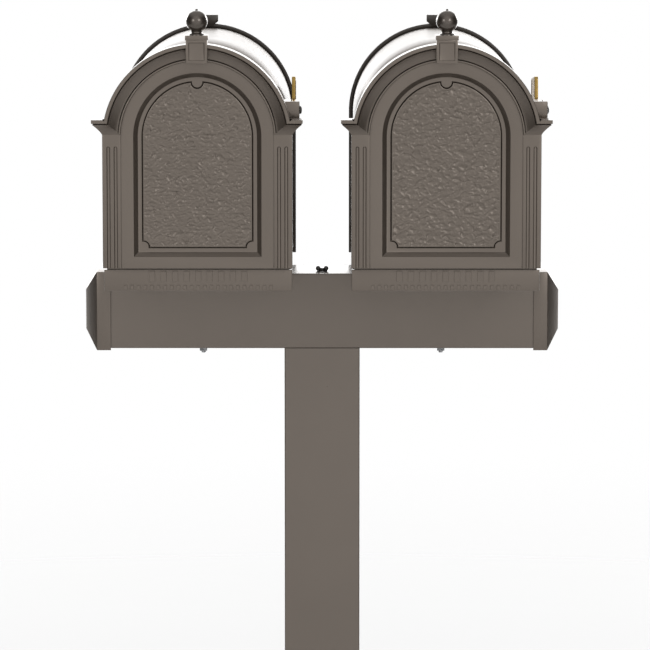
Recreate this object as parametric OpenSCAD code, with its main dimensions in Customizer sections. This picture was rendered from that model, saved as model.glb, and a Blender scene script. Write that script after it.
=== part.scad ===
// Twin curbside mailbox unit: two arched boxes side by side on one crossarm and one post.
// X runs to the right, Y to the back, Z up. The origin is on the ground, on the post's axis.
// The doors face -Y. Each box is drawn in its own frame, centred on the crossarm's top.

/* [Post and crossarm] */
// Outside width of the square tube of post and crossarm
tube_w = 101.6; // [95:0.1:110]
// Wall of the square tube
tube_wall = 3.2; // [2:0.1:5]
// Outside corner radius of the square tube
tube_corner = 2; // [0.5:0.1:3]
// Height of the crossarm's top above the ground
arm_top = 1067; // [850:1:1300]
// How far the crossarm reaches past each shell's outer side
arm_over = 23; // [22:0.5:90]
// Gap between the two doors
box_gap = 76; // [60:0.5:160]
// Clamp rod in front of the post's axis
clamp_in = 25; // [0:1:35]

/* [End caps] */
// Length of the collar around the tube's end
cap_collar = 19; // [10:0.5:30]
// How far the collar stands proud of the tube on each side
cap_proud = 2.4; // [1.5:0.1:5]
// Thickness of the wall behind the pyramid
cap_wall = 2.5; // [1.5:0.1:6]
// Height of the cut pyramid
cap_rise = 15.9; // [5:0.1:30]
// Width of the pyramid's flat end
cap_flat = 53.5; // [20:0.5:80]

/* [Box shell] */
// Half of the shell's outside width, which is the radius of its arch
shell_r = 117.4; // [105:0.1:119]
// Wall of the shell
shell_wall = 2; // [1.5:0.1:3]
// Height of the arch's centre above the crossarm
shell_spring = 195.4; // [170:0.1:230]
// Width of the lips folded in under the shell
lip_w = 14; // [8:0.5:22]
// Pilaster face to the post's axis
front_reach = 261; // [210:1:320]
// Rear face to the post's axis
rear_reach = 259; // [210:1:320]
// How far the rear rim stands proud of the shell
rim_proud = 5.8; // [3:0.1:10]
// Length of the rear rim along the box
rim_len = 10; // [8:0.5:16]
// Length of the rear cover's flange inside the shell
rear_flange = 13; // [13:0.5:24]

/* [Floor and fixing] */
// Floor's top below the mail opening
floor_drop = 3.5; // [1:0.5:6]
// Thickness of the floor sheet
floor_t = 2.5; // [1.5:0.1:4]
// Thickness of the saddle's sheet
saddle_t = 3; // [2:0.1:5]
// Half of the width of the saddle's raised part
saddle_half = 60; // [35:1:75]
// Distance between the two fixing bolts of a box
bolt_gap = 50; // [30:1:70]
// Radius of the fixing bolts
bolt_r = 3.1; // [2.5:0.1:4]

/* [Front frame] */
// Thickness of the fixed frame behind the door
frame_t = 7; // [5:0.5:10]
// Width of the frame beside the mail opening
frame_w = 13.4; // [12:0.1:24]
// Mail opening's bottom above the door's lower edge
sill_over = 1; // [1:0.5:12]
// Sill band's ends in from the door's sides
sill_in = 0.6; // [0:0.1:4]
// Height of the sill band under the door
sill_h = 27.9; // [24:0.1:34]
// Gap between the sill band and the door
door_gap = 4.1; // [1.2:0.1:6]
// Depth of the shadow groove above the sill band
sill_groove = 4; // [1:0.5:5]

// Number of large blocks in the sill band's upper row
upper_count = 9; // [3:1:13]
// Number of small blocks in the sill band's lower row
lower_count = 23; // [5:1:25]
// How far the sill band's blocks stand proud
block_proud = 1.2; // [0.5:0.1:2]

/* [Door] */
// How far the pilasters stand outside the shell's sides
pilaster_out = 5.2; // [2.6:0.1:8]
// Door arch's centre above the shell arch's centre
door_rise = 5.6; // [0:0.1:10]
// How much larger the door's arch is than the shell's
arch_out = 4.4; // [1.5:0.1:5]
// Width of the moulding around the arch
mould_w = 23.2; // [18:0.1:26]
// How far the moulding stands proud of the pilasters
mould_proud = 13.4; // [6:0.1:18]
// Depth of the door casting behind the pilaster face
door_depth = 17.5; // [16:0.5:20]
// Thickness of the casting's front wall
door_skin = 5; // [4:0.5:6]
// Width of the casting's rim behind the pilasters
door_rim = 8.6; // [6:0.1:11]
// Top of the capitals above the door arch's centre
capital_rise = 24.2; // [15:0.1:30]
// Height of the capitals
capital_h = 20.2; // [14:0.1:24]
// Distances of the two flutes from the door's side
flute_in = [17.2, 7.9];
// Radius of the flutes
flute_r = 2.35; // [1.5:0.05:3]
// Top of the flutes below the capitals
flute_drop = 15; // [6:0.5:60]

/* [Door panel] */
// Width of the flat field between moulding and recess
field_w = 16.1; // [8:0.1:30]
// Recess arch's centre above the door arch's centre
recess_rise = 1; // [0:0.1:4]
// Bottom of the recess above the door's lower edge
recess_foot = 14.5; // [11:0.1:28]
// Width of the recess's sloped wall
recess_slope = 5.5; // [2:0.1:8]
// Depth of the recess
recess_depth = 6; // [3:0.1:7]
// Raised panel's side in from the recess's edge
panel_side = 12.2; // [9:0.1:25]
// Raised panel's bottom above the recess's edge
panel_foot = 12.6; // [9:0.1:24]
// Thickness of the raised panel
panel_t = 2.8; // [1.5:0.1:4]
// Radius of the scoops out of the panel's lower corners
scoop_r = 8.5; // [4:0.5:12]

/* [Keystone and knob] */
// Half of the keystone's width
key_half = 13.8; // [10:0.1:18]
// Bottom of the keystone below the moulding's inner edge
key_drop = 1.9; // [0:0.1:8]
// Top of the keystone above the door's arch
key_rise = 11.2; // [4:0.1:24]
// How far the keystone stands proud of the pilasters
key_proud = 18; // [14:0.1:24]
// Radius of the knob's ball
ball_r = 14.2; // [10:0.1:18]
// Radius of the knob's neck
neck_r = 8.6; // [6:0.1:11]
// Height of the ball's centre above the keystone
ball_rise = 17.7; // [15:0.1:24]

/* [Door hinge] */
// Pin axis behind the pilaster face
hinge_in = 8; // [7:0.1:9]
// Pin axis above the door's bottom
hinge_up = 4; // [4:0.1:5]
// Radius of the hinge pins
pin_r = 2.5; // [2:0.05:2.8]
// Radial clearance of a turning fit
turn_fit = 0.05; // [0.02:0.01:0.1]
// Middle of a hinge ear from the door's side
ear_in = 16.1; // [15:0.1:16.1]
// Thickness of a hinge ear
ear_t = 5; // [4:0.5:6]

/* [Flag] */
// Gap between the front frame and the flag bracket
bracket_gap = 2; // [0.5:0.5:12]
// Flag pivot above the shell arch's centre
flag_rise = 38.1; // [30:0.1:45]
// Middle of the flag's thickness outside the shell's side
flag_out = 5.7; // [4.1:0.1:7.6]
// Thickness of the flag
flag_t = 5; // [3:0.1:5.4]
// Pivot to the near edge of the blade
blade_start = 111; // [80:1:130]
// Pivot to the far edge of the blade
blade_end = 196; // [150:1:240]
// Blade above the arm's centre line
blade_up = 35.5; // [20:0.5:45]
// Blade below the arm's centre line
blade_down = 21; // [12:0.5:30]
// Half of the flag arm's width
flag_arm = 6; // [4:0.5:7]

/* [Ground plate] */
// Width of the square plate on the ground
plate_w = 254; // [220:1:320]
// Thickness of the plate on the ground
plate_t = 10; // [6:0.5:16]
// Distance between the anchor holes
anchor_gap = 200; // [170:1:210]
// Radius of the anchor holes
anchor_r = 7; // [5:0.5:9]
// Height of the stub inside the post
stub_h = 90; // [50:1:140]

/* [Hidden] */
$fn = 64;
bronze = "#6f665c";
brass = "#b08d3c";
zinc = "#b9bcc0";
eps = 0.01;
slip_fit = 0.15;
screw_r = 2;
screw_play = 0.1;
screw_head_r = 4;
screw_head_h = 2.6;
head_room = 0.5;
post_screw_x = 25;
plate_corner = 8;
stub_wall = 5;
insert_h = 60;
insert_wall = 6;
insert_top = 9;
rod_r = 3;
rod_in = 12;
rod_out = 5;
rod_washer_t = 0.9;
wing_hub_r = 4.8;
wing_hub_h = 3.4;
wing_r = 3.2;
wing_x = 5.4;
wing_t = 2.8;
nut_r = 5.8;
nut_h = 5;
washer_r = 7;
washer_t = 1.4;
bolt_head_r = 7;
tube_in = tube_w - 2 * tube_wall;
door_half = shell_r + pilaster_out;
arch_r = shell_r + arch_out;
box_pitch = 2 * door_half + box_gap;
arm_len = box_pitch + 2 * (shell_r + arm_over);
door_bottom = sill_h + door_gap;
door_spring = shell_spring + door_rise;
opening_half = shell_r - frame_w;
opening_sill = door_bottom + sill_over;
floor_z = opening_sill - floor_drop;
sill_half = door_half - sill_in;
box_front = -front_reach;
box_rear = rear_reach;
door_back = box_front + door_depth;
frame_gap = 1.5;
frame_front = door_back + frame_gap;
frame_back = frame_front + frame_t;
frame_r = shell_r + 1.1;
spigot_len = 9;
spigot_r = shell_r - shell_wall - slip_fit;
rear_plate = 6;
shell_rear = box_rear - rear_plate;
shell_in = shell_r - shell_wall;
capital_top = door_spring + capital_rise;
capital_bottom = capital_top - capital_h;
mould_in = arch_r - mould_w;
flute_x = [for (d = flute_in) door_half - d];
flute_top = capital_bottom - flute_drop;
field_step = 2;
field_y = box_front + field_step;
recess_half = mould_in - field_w;
recess_spring = door_spring + recess_rise;
recess_bottom = door_bottom + recess_foot;
recess_y = field_y + recess_depth;
backing_y = recess_y + 4;
panel_half = recess_half - panel_side;
panel_bottom = recess_bottom + panel_foot;
panel_screw_z = [panel_bottom + 31, recess_spring + 28];
key_bottom = door_spring + mould_in - key_drop;
key_top = door_spring + arch_r + key_rise;
knob_y = box_front - 5;
knob_stem_r = 3;
knob_stem = 11;
fillet_w = 6.2;
bead_w = 3.8;
bead_p = 2;
mould_wave = 0.05;
hinge_y = box_front + hinge_in;
hinge_z = door_bottom + hinge_up;
pin_press = 0.02;
ear_x = door_half - ear_in;
ear_r = pin_r + 1.5;
ear_room = 1.3;
knuckle_r = pin_r + 1.3;
knuckle_gap = 0.5;
ear_slot_top = hinge_z + ear_r + 1;
knuckle_t = 6;
flag_x = shell_r + flag_out;
flag_z = shell_spring + flag_rise;
flag_hub = 8;
blade_slope = 9;
bracket_half = 20;
flag_y = frame_back + bracket_gap + bracket_half;
bracket_wall = 4;
bracket_screw_gap = 2 * (flag_y - frame_back - spigot_len - screw_head_r - head_room);
bracket_screw_drop = 7;
bracket_low = 13.5;
bracket_high = 12.5;
cheek_t = 5.4;
slot_gap = 0.6;
flag_washer_gap = 0.1;
bracket_out = flag_x + flag_t / 2 + slot_gap + cheek_t;
lower_pitch = 8.6;
lower_w = 4.6;
lower_h = 6;
lower_z = 2;
upper_pitch = 15;
upper_w = 8;
upper_z = lower_z + lower_h + 4;
upper_h = sill_h - upper_z - 1.4;
rear_key_half = 14;
rear_key_foot = 4;
rear_key_rise = 18;
flange_t = 5;
flange_foot = 8;
magnet_half = 12;
magnet_top = shell_spring + sqrt(opening_half * opening_half - magnet_half * magnet_half);
magnet_proud = 0.9;
magnet_len = 9;
strike_t = 1.6;
magnet_h = 13;
pan_under = floor_z - floor_t;

// A flat drawing in X and Z, made solid from y0 back to y1
module along_y(y0, y1) {
  translate([0, y1, 0]) rotate([90, 0, 0]) linear_extrude(y1 - y0) children();
}

// A flat drawing in Y and Z, made solid from x0 to x1
module along_x(x0, x1) {
  translate([x0, 0, 0]) rotate([90, 0, 90]) linear_extrude(x1 - x0) children();
}

// Rectangle with a half round top
module arch_shape(half, spring, bottom) {
  translate([-half, bottom]) square([2 * half, spring - bottom]);
  translate([0, spring]) circle(r = half, $fn = 180);
}

// Square with round corners, centred
module round_square(w, r) {
  square([w, w - 2 * r], center = true);
  square([w - 2 * r, w], center = true);
  for (x = [-1, 1], y = [-1, 1]) translate([x * (w / 2 - r), y * (w / 2 - r)]) circle(r = r);
}

// Square tube standing on the ground plane
module square_tube(len) {
  linear_extrude(len) difference() {
    round_square(tube_w, tube_corner);
    square(tube_in, center = true);
  }
}

// Pan head screw whose head sits on the plane z = 0 with the shank going down
module screw(len) {
  translate([0, 0, -len]) cylinder(r = screw_r, h = len);
  rotate_extrude() polygon([[0, 0], [screw_head_r, 0], [screw_head_r, screw_head_h * 0.5],
    [screw_head_r * 0.6, screw_head_h], [0, screw_head_h]]);
}

// Screws on both sides of a box, heads outwards, at the given heights
module side_screws(y, heights, out, len) {
  for (s = [-1, 1], z = heights) translate([s * out, y, z]) rotate([0, s * 90, 0]) screw(len);
}

// Screws through the post's rear face, heads outwards
module post_screws(z, len) {
  for (x = [-1, 1]) translate([x * post_screw_x, tube_w / 2, z]) rotate([-90, 0, 0]) screw(len);
}

// Clearance holes for them
module post_holes(z, len) {
  for (x = [-1, 1]) translate([x * post_screw_x, tube_w / 2 + 1, z]) rotate([90, 0, 0])
    cylinder(r = screw_r + screw_play, h = len + 1);
}

// Clearance holes on both sides of a box at the given heights
module side_holes(y, heights, out, len) {
  for (s = [-1, 1], z = heights) translate([s * out, y, z]) rotate([0, s * 90, 0])
    translate([0, 0, -len]) cylinder(r = screw_r + screw_play, h = len + 1);
}

module at_box(s) {
  translate([s * box_pitch / 2, 0, arm_top]) children();
}

// ---- post, crossarm and ground plate ----

ground_screw_z = plate_t + stub_h / 2;
insert_z = arm_top - tube_w - insert_h / 2;

module post() {
  color(bronze) difference() {
    translate([0, 0, plate_t]) square_tube(arm_top - tube_w - plate_t);
    for (z = [ground_screw_z, insert_z]) post_holes(z, tube_wall + 1);
  }
}

module ground_plate() {
  stub = tube_in - 2 * slip_fit;
  bore = stub - 2 * stub_wall;
  color(bronze) difference() {
    union() {
      linear_extrude(plate_t) round_square(plate_w, plate_corner);
      translate([-stub / 2, -stub / 2, plate_t - eps]) cube([stub, stub, stub_h]);
    }
    translate([0, 0, plate_t + (stub_h + 1) / 2]) cube([bore, bore, stub_h + 1], center = true);
    for (x = [-1, 1], y = [-1, 1]) translate([x * anchor_gap / 2, y * anchor_gap / 2, -1])
      cylinder(r = anchor_r, h = plate_t + 2);
    post_holes(ground_screw_z, tube_wall + stub_wall + 1);
  }
}

module ground_screws() {
  color(bronze) post_screws(ground_screw_z, tube_wall + stub_wall - 1);
}

module crossarm() {
  color(bronze) difference() {
    translate([-arm_len / 2, 0, arm_top - tube_w / 2]) rotate([0, 90, 0]) square_tube(arm_len);
    for (s = [-1, 1], b = [-1, 1])
      translate([s * box_pitch / 2, b * bolt_gap / 2, arm_top - tube_w - 1])
        cylinder(r = bolt_r + screw_play, h = tube_w + 2);
    translate([0, -clamp_in, arm_top - tube_w - 1]) cylinder(r = rod_r + screw_play, h = tube_w + 2);
    for (s = [-1, 1]) translate([s * cap_screw_x, 0, arm_top - tube_w - 1])
      cylinder(r = screw_r + screw_play, h = tube_wall + 2);
  }
}

module post_insert() {
  w = tube_in - 2 * slip_fit;
  bore = w - 2 * insert_wall;
  color(zinc) translate([0, 0, arm_top - tube_w - insert_h]) difference() {
    translate([-w / 2, -w / 2, 0]) cube([w, w, insert_h]);
    translate([0, 0, (insert_h - insert_top) / 2 - 1])
      cube([bore, bore, insert_h - insert_top + 2], center = true);
    translate([0, -clamp_in, -1]) cylinder(r = rod_r, h = insert_h + 2);
    post_holes(insert_h / 2, tube_wall + insert_wall + 1);
  }
}

module insert_screws() {
  color(bronze) post_screws(insert_z, tube_wall + insert_wall - 1);
}

module clamp_rod() {
  color(zinc) translate([0, -clamp_in, arm_top - tube_w - rod_in])
    cylinder(r = rod_r, h = rod_in + tube_w + rod_out);
}

module rod_washer() {
  color(zinc) translate([0, -clamp_in, arm_top]) difference() {
    cylinder(r = washer_r, h = rod_washer_t);
    translate([0, 0, -1]) cylinder(r = rod_r + screw_play, h = 4);
  }
}

module wing_nut() {
  color("#3a3733") translate([0, -clamp_in, arm_top + rod_washer_t]) difference() {
    union() {
      cylinder(r = wing_hub_r, h = wing_hub_h);
      for (s = [-1, 1]) translate([s * wing_x, wing_t / 2, wing_r]) rotate([90, 0, 0])
        cylinder(r = wing_r, h = wing_t);
    }
    translate([0, 0, -1]) cylinder(r = rod_r + screw_play, h = 12);
  }
}

cap_inner = tube_w + 2 * slip_fit;
cap_outer = tube_w + 2 * cap_proud;
cap_tip = arm_len / 2 + cap_wall;
cap_screw_x = cap_tip - cap_collar / 2;

// Cap on the +X end of the crossarm
module end_cap() {
  color(bronze) translate([0, 0, arm_top - tube_w / 2]) difference() {
    union() {
      translate([cap_tip - cap_collar, -cap_outer / 2, -cap_outer / 2])
        cube([cap_collar, cap_outer, cap_outer]);
      intersection() {
        pyramid_side();
        rotate([90, 0, 0]) pyramid_side();
      }
    }
    translate([cap_tip - cap_collar - 1, -cap_inner / 2, -cap_inner / 2])
      cube([cap_collar + 1 - cap_wall, cap_inner, cap_inner]);
    translate([cap_screw_x, 0, -cap_outer / 2 - 1]) cylinder(r = screw_r + screw_play, h = cap_wall + 4);
  }
}

// Tapered slab, one of the two that cross in the cap's pyramid
module pyramid_side() {
  translate([0, 0, -cap_outer / 2]) linear_extrude(cap_outer) polygon([
    [cap_tip - eps, -cap_outer / 2], [cap_tip, -cap_outer / 2], [cap_tip + cap_rise, -cap_flat / 2],
    [cap_tip + cap_rise, cap_flat / 2], [cap_tip, cap_outer / 2], [cap_tip - eps, cap_outer / 2]]);
}

module left_end_cap() {
  mirror([1, 0, 0]) end_cap();
}

module right_end_cap() {
  end_cap();
}

module cap_screws() {
  color(bronze) for (s = [-1, 1]) translate([s * cap_screw_x, 0, arm_top - tube_w - cap_proud])
    rotate([180, 0, 0]) screw(cap_proud + tube_wall + 2);
}

// ---- box: shell, floor, saddle and rear ----

shell_screw_z = [70, shell_spring - 25];
pan_screw_y = [-150, 150];
pan_screw_z = 16;
pan_front = frame_back + spigot_len + 1;
pan_rear = shell_rear - rear_flange - 1;
front_screw_y = frame_back + spigot_len / 2 + head_room;
rear_screw_x = shell_in - lip_w / 2;
rear_screw_y = box_rear - rim_len - screw_head_r - head_room;

module shell() {
  color(bronze) difference() {
    along_y(frame_back, shell_rear) difference() {
      arch_shape(shell_r, shell_spring, 0);
      arch_shape(shell_in, shell_spring, shell_wall);
      translate([-shell_in + lip_w, -1]) square([2 * (shell_in - lip_w), shell_wall + 2]);
    }
    side_holes(front_screw_y, shell_screw_z, shell_r, shell_wall + 1);
    rear_screw_holes();
    for (y = pan_screw_y) side_holes(y, [pan_screw_z], shell_r, shell_wall + 1);
    bracket_screw_holes(screw_r + screw_play);
  }
}

// Upright holes through the shell's lips and into the rear cover's flange
module rear_screw_holes() {
  for (s = [-1, 1]) translate([s * rear_screw_x, rear_screw_y, -1])
    cylinder(r = screw_r + screw_play, h = shell_wall + flange_foot);
}

module floor_pan() {
  w = shell_in - slip_fit;
  color("#8b8680") difference() {
    union() {
      translate([-w, pan_front, pan_under]) cube([2 * w, pan_rear - pan_front, floor_t]);
      for (s = [-1, 1]) translate([s > 0 ? w - floor_t : -w, pan_front, shell_wall + 1])
        cube([floor_t, pan_rear - pan_front, pan_under - shell_wall - 1 + eps]);
    }
    for (b = [-1, 1]) translate([0, b * bolt_gap / 2, 0]) cylinder(r = bolt_r + screw_play, h = floor_z + 1);
    for (y = pan_screw_y) side_holes(y, [pan_screw_z], shell_r, shell_wall + floor_t + 2);
  }
}

module shell_screws() {
  color(bronze) {
    side_screws(front_screw_y, shell_screw_z, shell_r, 8);
    for (y = pan_screw_y) side_screws(y, [pan_screw_z], shell_r, 8);
  }
}

module saddle() {
  foot = 26;
  color(zinc) difference() {
    along_y(-tube_w / 2 + 3, tube_w / 2 - 3) {
      translate([-saddle_half, pan_under - saddle_t]) square([2 * saddle_half, saddle_t]);
      for (s = [-1, 1]) {
        translate([s > 0 ? saddle_half - saddle_t : -saddle_half, 0]) square([saddle_t, pan_under]);
        translate([s > 0 ? saddle_half - eps : -saddle_half - foot + eps, 0]) square([foot, saddle_t]);
      }
    }
    for (b = [-1, 1]) translate([0, b * bolt_gap / 2, 0]) cylinder(r = bolt_r + screw_play, h = floor_z + 1);
  }
}

bolt_end = -tube_w - 9;

module saddle_bolts() {
  color(zinc) for (b = [-1, 1]) translate([0, b * bolt_gap / 2, 0]) {
    translate([0, 0, bolt_end]) cylinder(r = bolt_r, h = floor_z - bolt_end);
    translate([0, 0, floor_z]) rotate_extrude()
      polygon([[0, 0], [bolt_head_r, 0], [bolt_head_r - 0.6, 1.6], [bolt_head_r - 2.4, 2.9],
        [bolt_head_r - 4.8, 3.6], [0, 3.8]]);
  }
}

module saddle_washers() {
  color(zinc) for (b = [-1, 1]) translate([0, b * bolt_gap / 2, -tube_w - washer_t]) difference() {
    cylinder(r = washer_r, h = washer_t);
    translate([0, 0, -1]) cylinder(r = bolt_r + screw_play, h = 4);
  }
}

module saddle_nuts() {
  color(zinc) for (b = [-1, 1]) translate([0, b * bolt_gap / 2, -tube_w - washer_t - nut_h])
    difference() {
      cylinder(r = nut_r, h = nut_h, $fn = 6);
      translate([0, 0, -1]) cylinder(r = bolt_r, h = nut_h + 2);
    }
}

module rear_cover() {
  color(bronze) difference() {
    union() {
      difference() {
        rear_rim();
        along_y(box_rear - rim_len - 3, shell_rear) arch_shape(shell_r + slip_fit, shell_spring, -slip_fit);
      }
      along_y(shell_rear - rear_flange, shell_rear + eps) difference() {
        arch_shape(spigot_r, shell_spring, shell_wall + slip_fit);
        arch_shape(spigot_r - flange_t, shell_spring, shell_wall + slip_fit + flange_foot);
      }
    }
    rear_screw_holes();
  }
}

// Solid plate with its wedge-shaped key on top
module rear_rim() {
  along_y(box_rear - rim_len, box_rear) arch_shape(shell_r + rim_proud, shell_spring, -rim_proud);
  translate([0, 0, shell_spring + shell_r]) along_y(box_rear - rim_len - 2, box_rear + 2) polygon([
    [-rear_key_foot, 1], [rear_key_foot, 1], [rear_key_half, rear_key_rise / 2],
    [rear_key_half, rear_key_rise], [-rear_key_half, rear_key_rise], [-rear_key_half, rear_key_rise / 2]]);
}

module rear_screws() {
  color(bronze) for (s = [-1, 1]) translate([s * rear_screw_x, rear_screw_y, 0]) rotate([180, 0, 0])
    screw(shell_wall + flange_foot - 2);
}

// ---- box: front frame and its small parts ----

module front_frame() {
  color(bronze) difference() {
    union() {
      along_y(frame_front, frame_back) arch_shape(frame_r, shell_spring, 0);
      along_y(frame_front, frame_back) translate([-sill_half, 0]) square([2 * sill_half, sill_h]);
      along_y(frame_back - eps, frame_back + spigot_len) intersection() {
        arch_shape(spigot_r, shell_spring, 0);
        translate([-spigot_r, opening_sill + 2]) square([2 * spigot_r, 400]);
      }
      for (s = [-1, 1]) hinge_ear(s);
      block_row(upper_count, upper_pitch, upper_w, upper_z, upper_h);
      block_row(lower_count, lower_pitch, lower_w, lower_z, lower_h);
    }
    along_y(frame_front - 1, frame_back + spigot_len + 1)
      arch_shape(opening_half, shell_spring, opening_sill);
    along_y(frame_front - 1, frame_front + sill_groove) translate([-frame_r - 1, sill_h])
      square([2 * frame_r + 2, opening_sill - sill_h]);
    side_holes(front_screw_y, shell_screw_z, shell_r, 12);
    for (s = [-1, 1]) translate([s * ear_x, hinge_y, hinge_z]) rotate([0, 90, 0])
      cylinder(r = pin_r - pin_press, h = ear_t + 2, center = true);
  }
}

// Row of low raised blocks on the sill band
module block_row(count, pitch, w, z, h) {
  for (k = [0:count - 1]) translate([(k - (count - 1) / 2) * pitch - w / 2, frame_front - block_proud, z])
    cube([w, block_proud + eps, h]);
}

// Ear that carries one hinge pin, reaching forward into the door
module hinge_ear(s) {
  translate([s * ear_x - ear_t / 2, 0, 0]) {
    translate([0, hinge_y, hinge_z]) rotate([0, 90, 0]) cylinder(r = ear_r, h = ear_t);
    translate([0, hinge_y, hinge_z - ear_r]) cube([ear_t, frame_front - hinge_y + 1, 2 * ear_r]);
  }
}

module door_seal() {
  seal_low = 60;
  color("#2b2a29") along_y(frame_front - 1.2, frame_front) difference() {
    intersection() {
      arch_shape(frame_r - 0.5, shell_spring, 0);
      translate([-frame_r, seal_low]) square([2 * frame_r, 400]);
    }
    arch_shape(frame_r - 4, shell_spring, -1);
  }
}

module magnet() {
  color("#4a4a4c") translate([-magnet_half, frame_front - magnet_proud, magnet_top - magnet_h])
    cube([2 * magnet_half, magnet_len, magnet_h]);
}

module hinge_pins() {
  len = ear_t + 2 * knuckle_gap + 2 * knuckle_t;
  color(zinc) for (s = [-1, 1]) translate([s * ear_x, hinge_y, hinge_z]) rotate([0, 90, 0])
    cylinder(r = pin_r, h = len, center = true);
}

// ---- box: door ----

// Moulding profile from its outer edge inwards: [distance in, how far it stands proud]
function mould_line(w, bead) = concat(
  [[0, -4], [0, mould_proud], [fillet_w, mould_proud], [fillet_w, mould_proud - 1]],
  [for (t = [0.1:0.1:1]) [
    fillet_w + (w - bead_w - fillet_w) * t,
    bead + (mould_proud - 1 - bead) * (1 - t + mould_wave * sin(360 * t))]],
  [[w, bead], [w, -4]]);

module door_outline(inset) {
  translate([-door_half + inset, door_bottom + inset])
    square([2 * (door_half - inset), capital_bottom - door_bottom - inset]);
  translate([0, door_spring]) circle(r = arch_r - inset, $fn = 180);
}

// Ring of moulding over the door's arch, above the mitres with the capitals
module arch_mould() {
  intersection() {
    translate([0, box_front, door_spring]) rotate([90, 0, 0]) rotate_extrude(angle = 180, $fn = 180)
      polygon([for (q = mould_line(mould_w, bead_p)) [arch_r - q[0], q[1]]]);
    along_y(box_front - mould_proud - 1, box_front + 5) for (s = [0, 1]) mirror([s, 0]) polygon([
      [0, capital_bottom], [mould_in, capital_bottom], [arch_r, capital_top],
      [arch_r + 5, capital_top], [arch_r + 5, key_top], [0, key_top]]);
  }
}

// Capital on the right pilaster: the moulding turned level and returned along the side
module capital() {
  line = [for (q = mould_line(capital_h, 0)) [q[1], capital_top - q[0]]];
  front = [for (q = line) [box_front - max(q[0], -4), q[1]]];
  side = [for (q = line) [door_half + q[0], q[1]]];
  intersection() {
    along_x(mould_in, door_half + mould_proud)
      polygon(concat([[door_back, capital_top]], front, [[door_back, capital_bottom]]));
    along_y(box_front - mould_proud, door_back)
      polygon(concat([[mould_in, capital_top]], side, [[mould_in, capital_bottom]]));
    along_y(box_front - mould_proud - 1, door_back) polygon([
      [mould_in - 1, capital_bottom - 1], [mould_in, capital_bottom], [arch_r, capital_top],
      [door_half + mould_proud + 1, capital_top], [door_half + mould_proud + 1, capital_bottom - 1]]);
  }
}

// Tapered pocket of the door's recess, widest at the door's face
module recess_cut() {
  low = recess_half - recess_slope;
  translate([0, recess_y, recess_spring]) rotate([90, 0, 0])
    cylinder(r1 = low, r2 = recess_half, h = recess_depth, $fn = 180);
  intersection() {
    translate([0, 0, recess_bottom - 1]) linear_extrude(recess_spring - recess_bottom + 1)
      polygon([[-recess_half, field_y], [recess_half, field_y], [low, recess_y], [-low, recess_y]]);
    along_x(-recess_half - 1, recess_half + 1) polygon([[field_y, recess_bottom], [field_y, recess_spring],
      [recess_y, recess_spring], [recess_y, recess_bottom + recess_slope]]);
  }
}

module flutes() {
  for (s = [-1, 1], x = flute_x) translate([s * x, box_front, 0]) {
    translate([0, 0, door_bottom - 1]) cylinder(r = flute_r, h = flute_top - flute_r - door_bottom + 1);
    translate([0, 0, flute_top - flute_r]) sphere(r = flute_r);
  }
}

// Barrels on the door around a hinge pin, either side of the ear
module knuckles() {
  for (s = [-1, 1], k = [-1, 1]) {
    at = s * ear_x + k * (ear_t / 2 + knuckle_gap + knuckle_t / 2);
    translate([at, hinge_y, hinge_z]) rotate([0, 90, 0])
      cylinder(r = knuckle_r, h = knuckle_t, center = true);
    translate([at - knuckle_t / 2, box_front + door_skin - 1, door_bottom])
      cube([knuckle_t, hinge_y - box_front - door_skin + 1, hinge_up + knuckle_r]);
  }
}

module door() {
  color(bronze) difference() {
    union() {
      difference() {
        along_y(box_front, door_back) door_outline(0);
        along_y(box_front + door_skin, door_back + 1) door_outline(door_rim);
        along_y(box_front - 1, field_y) {
          translate([-mould_in, door_bottom - 1]) square([2 * mould_in, door_spring - door_bottom + 1]);
          translate([0, door_spring]) circle(r = mould_in, $fn = 180);
        }
      }
      along_y(box_front + door_skin - 1, backing_y)
        arch_shape(recess_half + 3, recess_spring, recess_bottom - 3);
      arch_mould();
      for (s = [0, 1]) mirror([s, 0, 0]) capital();
      translate([-key_half, box_front - key_proud, key_bottom])
        cube([2 * key_half, key_proud + door_skin, key_top - key_bottom]);
      translate([-magnet_half, box_front + door_skin - 1, magnet_top - magnet_h])
        cube([2 * magnet_half, door_depth - door_skin + 1 - strike_t, magnet_h]);
      knuckles();
    }
    recess_cut();
    flutes();
    for (s = [-1, 1]) {
      translate([s * ear_x - ear_t / 2 - knuckle_gap, hinge_y - ear_r - ear_room, door_bottom - 1])
        cube([ear_t + 2 * knuckle_gap, door_depth, ear_slot_top - door_bottom + 1]);
      translate([s * ear_x, hinge_y, hinge_z]) rotate([0, 90, 0])
        cylinder(r = pin_r + turn_fit, h = ear_t + 2 * knuckle_gap + 2 * knuckle_t + 1, center = true);
    }
    for (z = panel_screw_z) translate([0, backing_y + 1, z]) rotate([90, 0, 0])
      cylinder(r = screw_r + screw_play, h = 7);
    translate([0, knob_y, key_top - knob_stem - 1]) cylinder(r = knob_stem_r, h = knob_stem + 2);
  }
}

module door_panel() {
  color(bronze) difference() {
    along_y(recess_y - panel_t, recess_y) difference() {
      arch_shape(panel_half, recess_spring, panel_bottom);
      for (s = [-1, 1]) translate([s * panel_half, panel_bottom]) circle(r = scoop_r);
      translate([0, recess_spring + panel_half]) circle(r = scoop_r);
    }
    for (z = panel_screw_z) translate([0, recess_y + 1, z]) rotate([90, 0, 0])
      cylinder(r = screw_r, h = 2.6);
  }
}

module panel_screws() {
  color(zinc) for (z = panel_screw_z) translate([0, backing_y, z]) rotate([-90, 0, 0]) screw(5.4);
}

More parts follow.
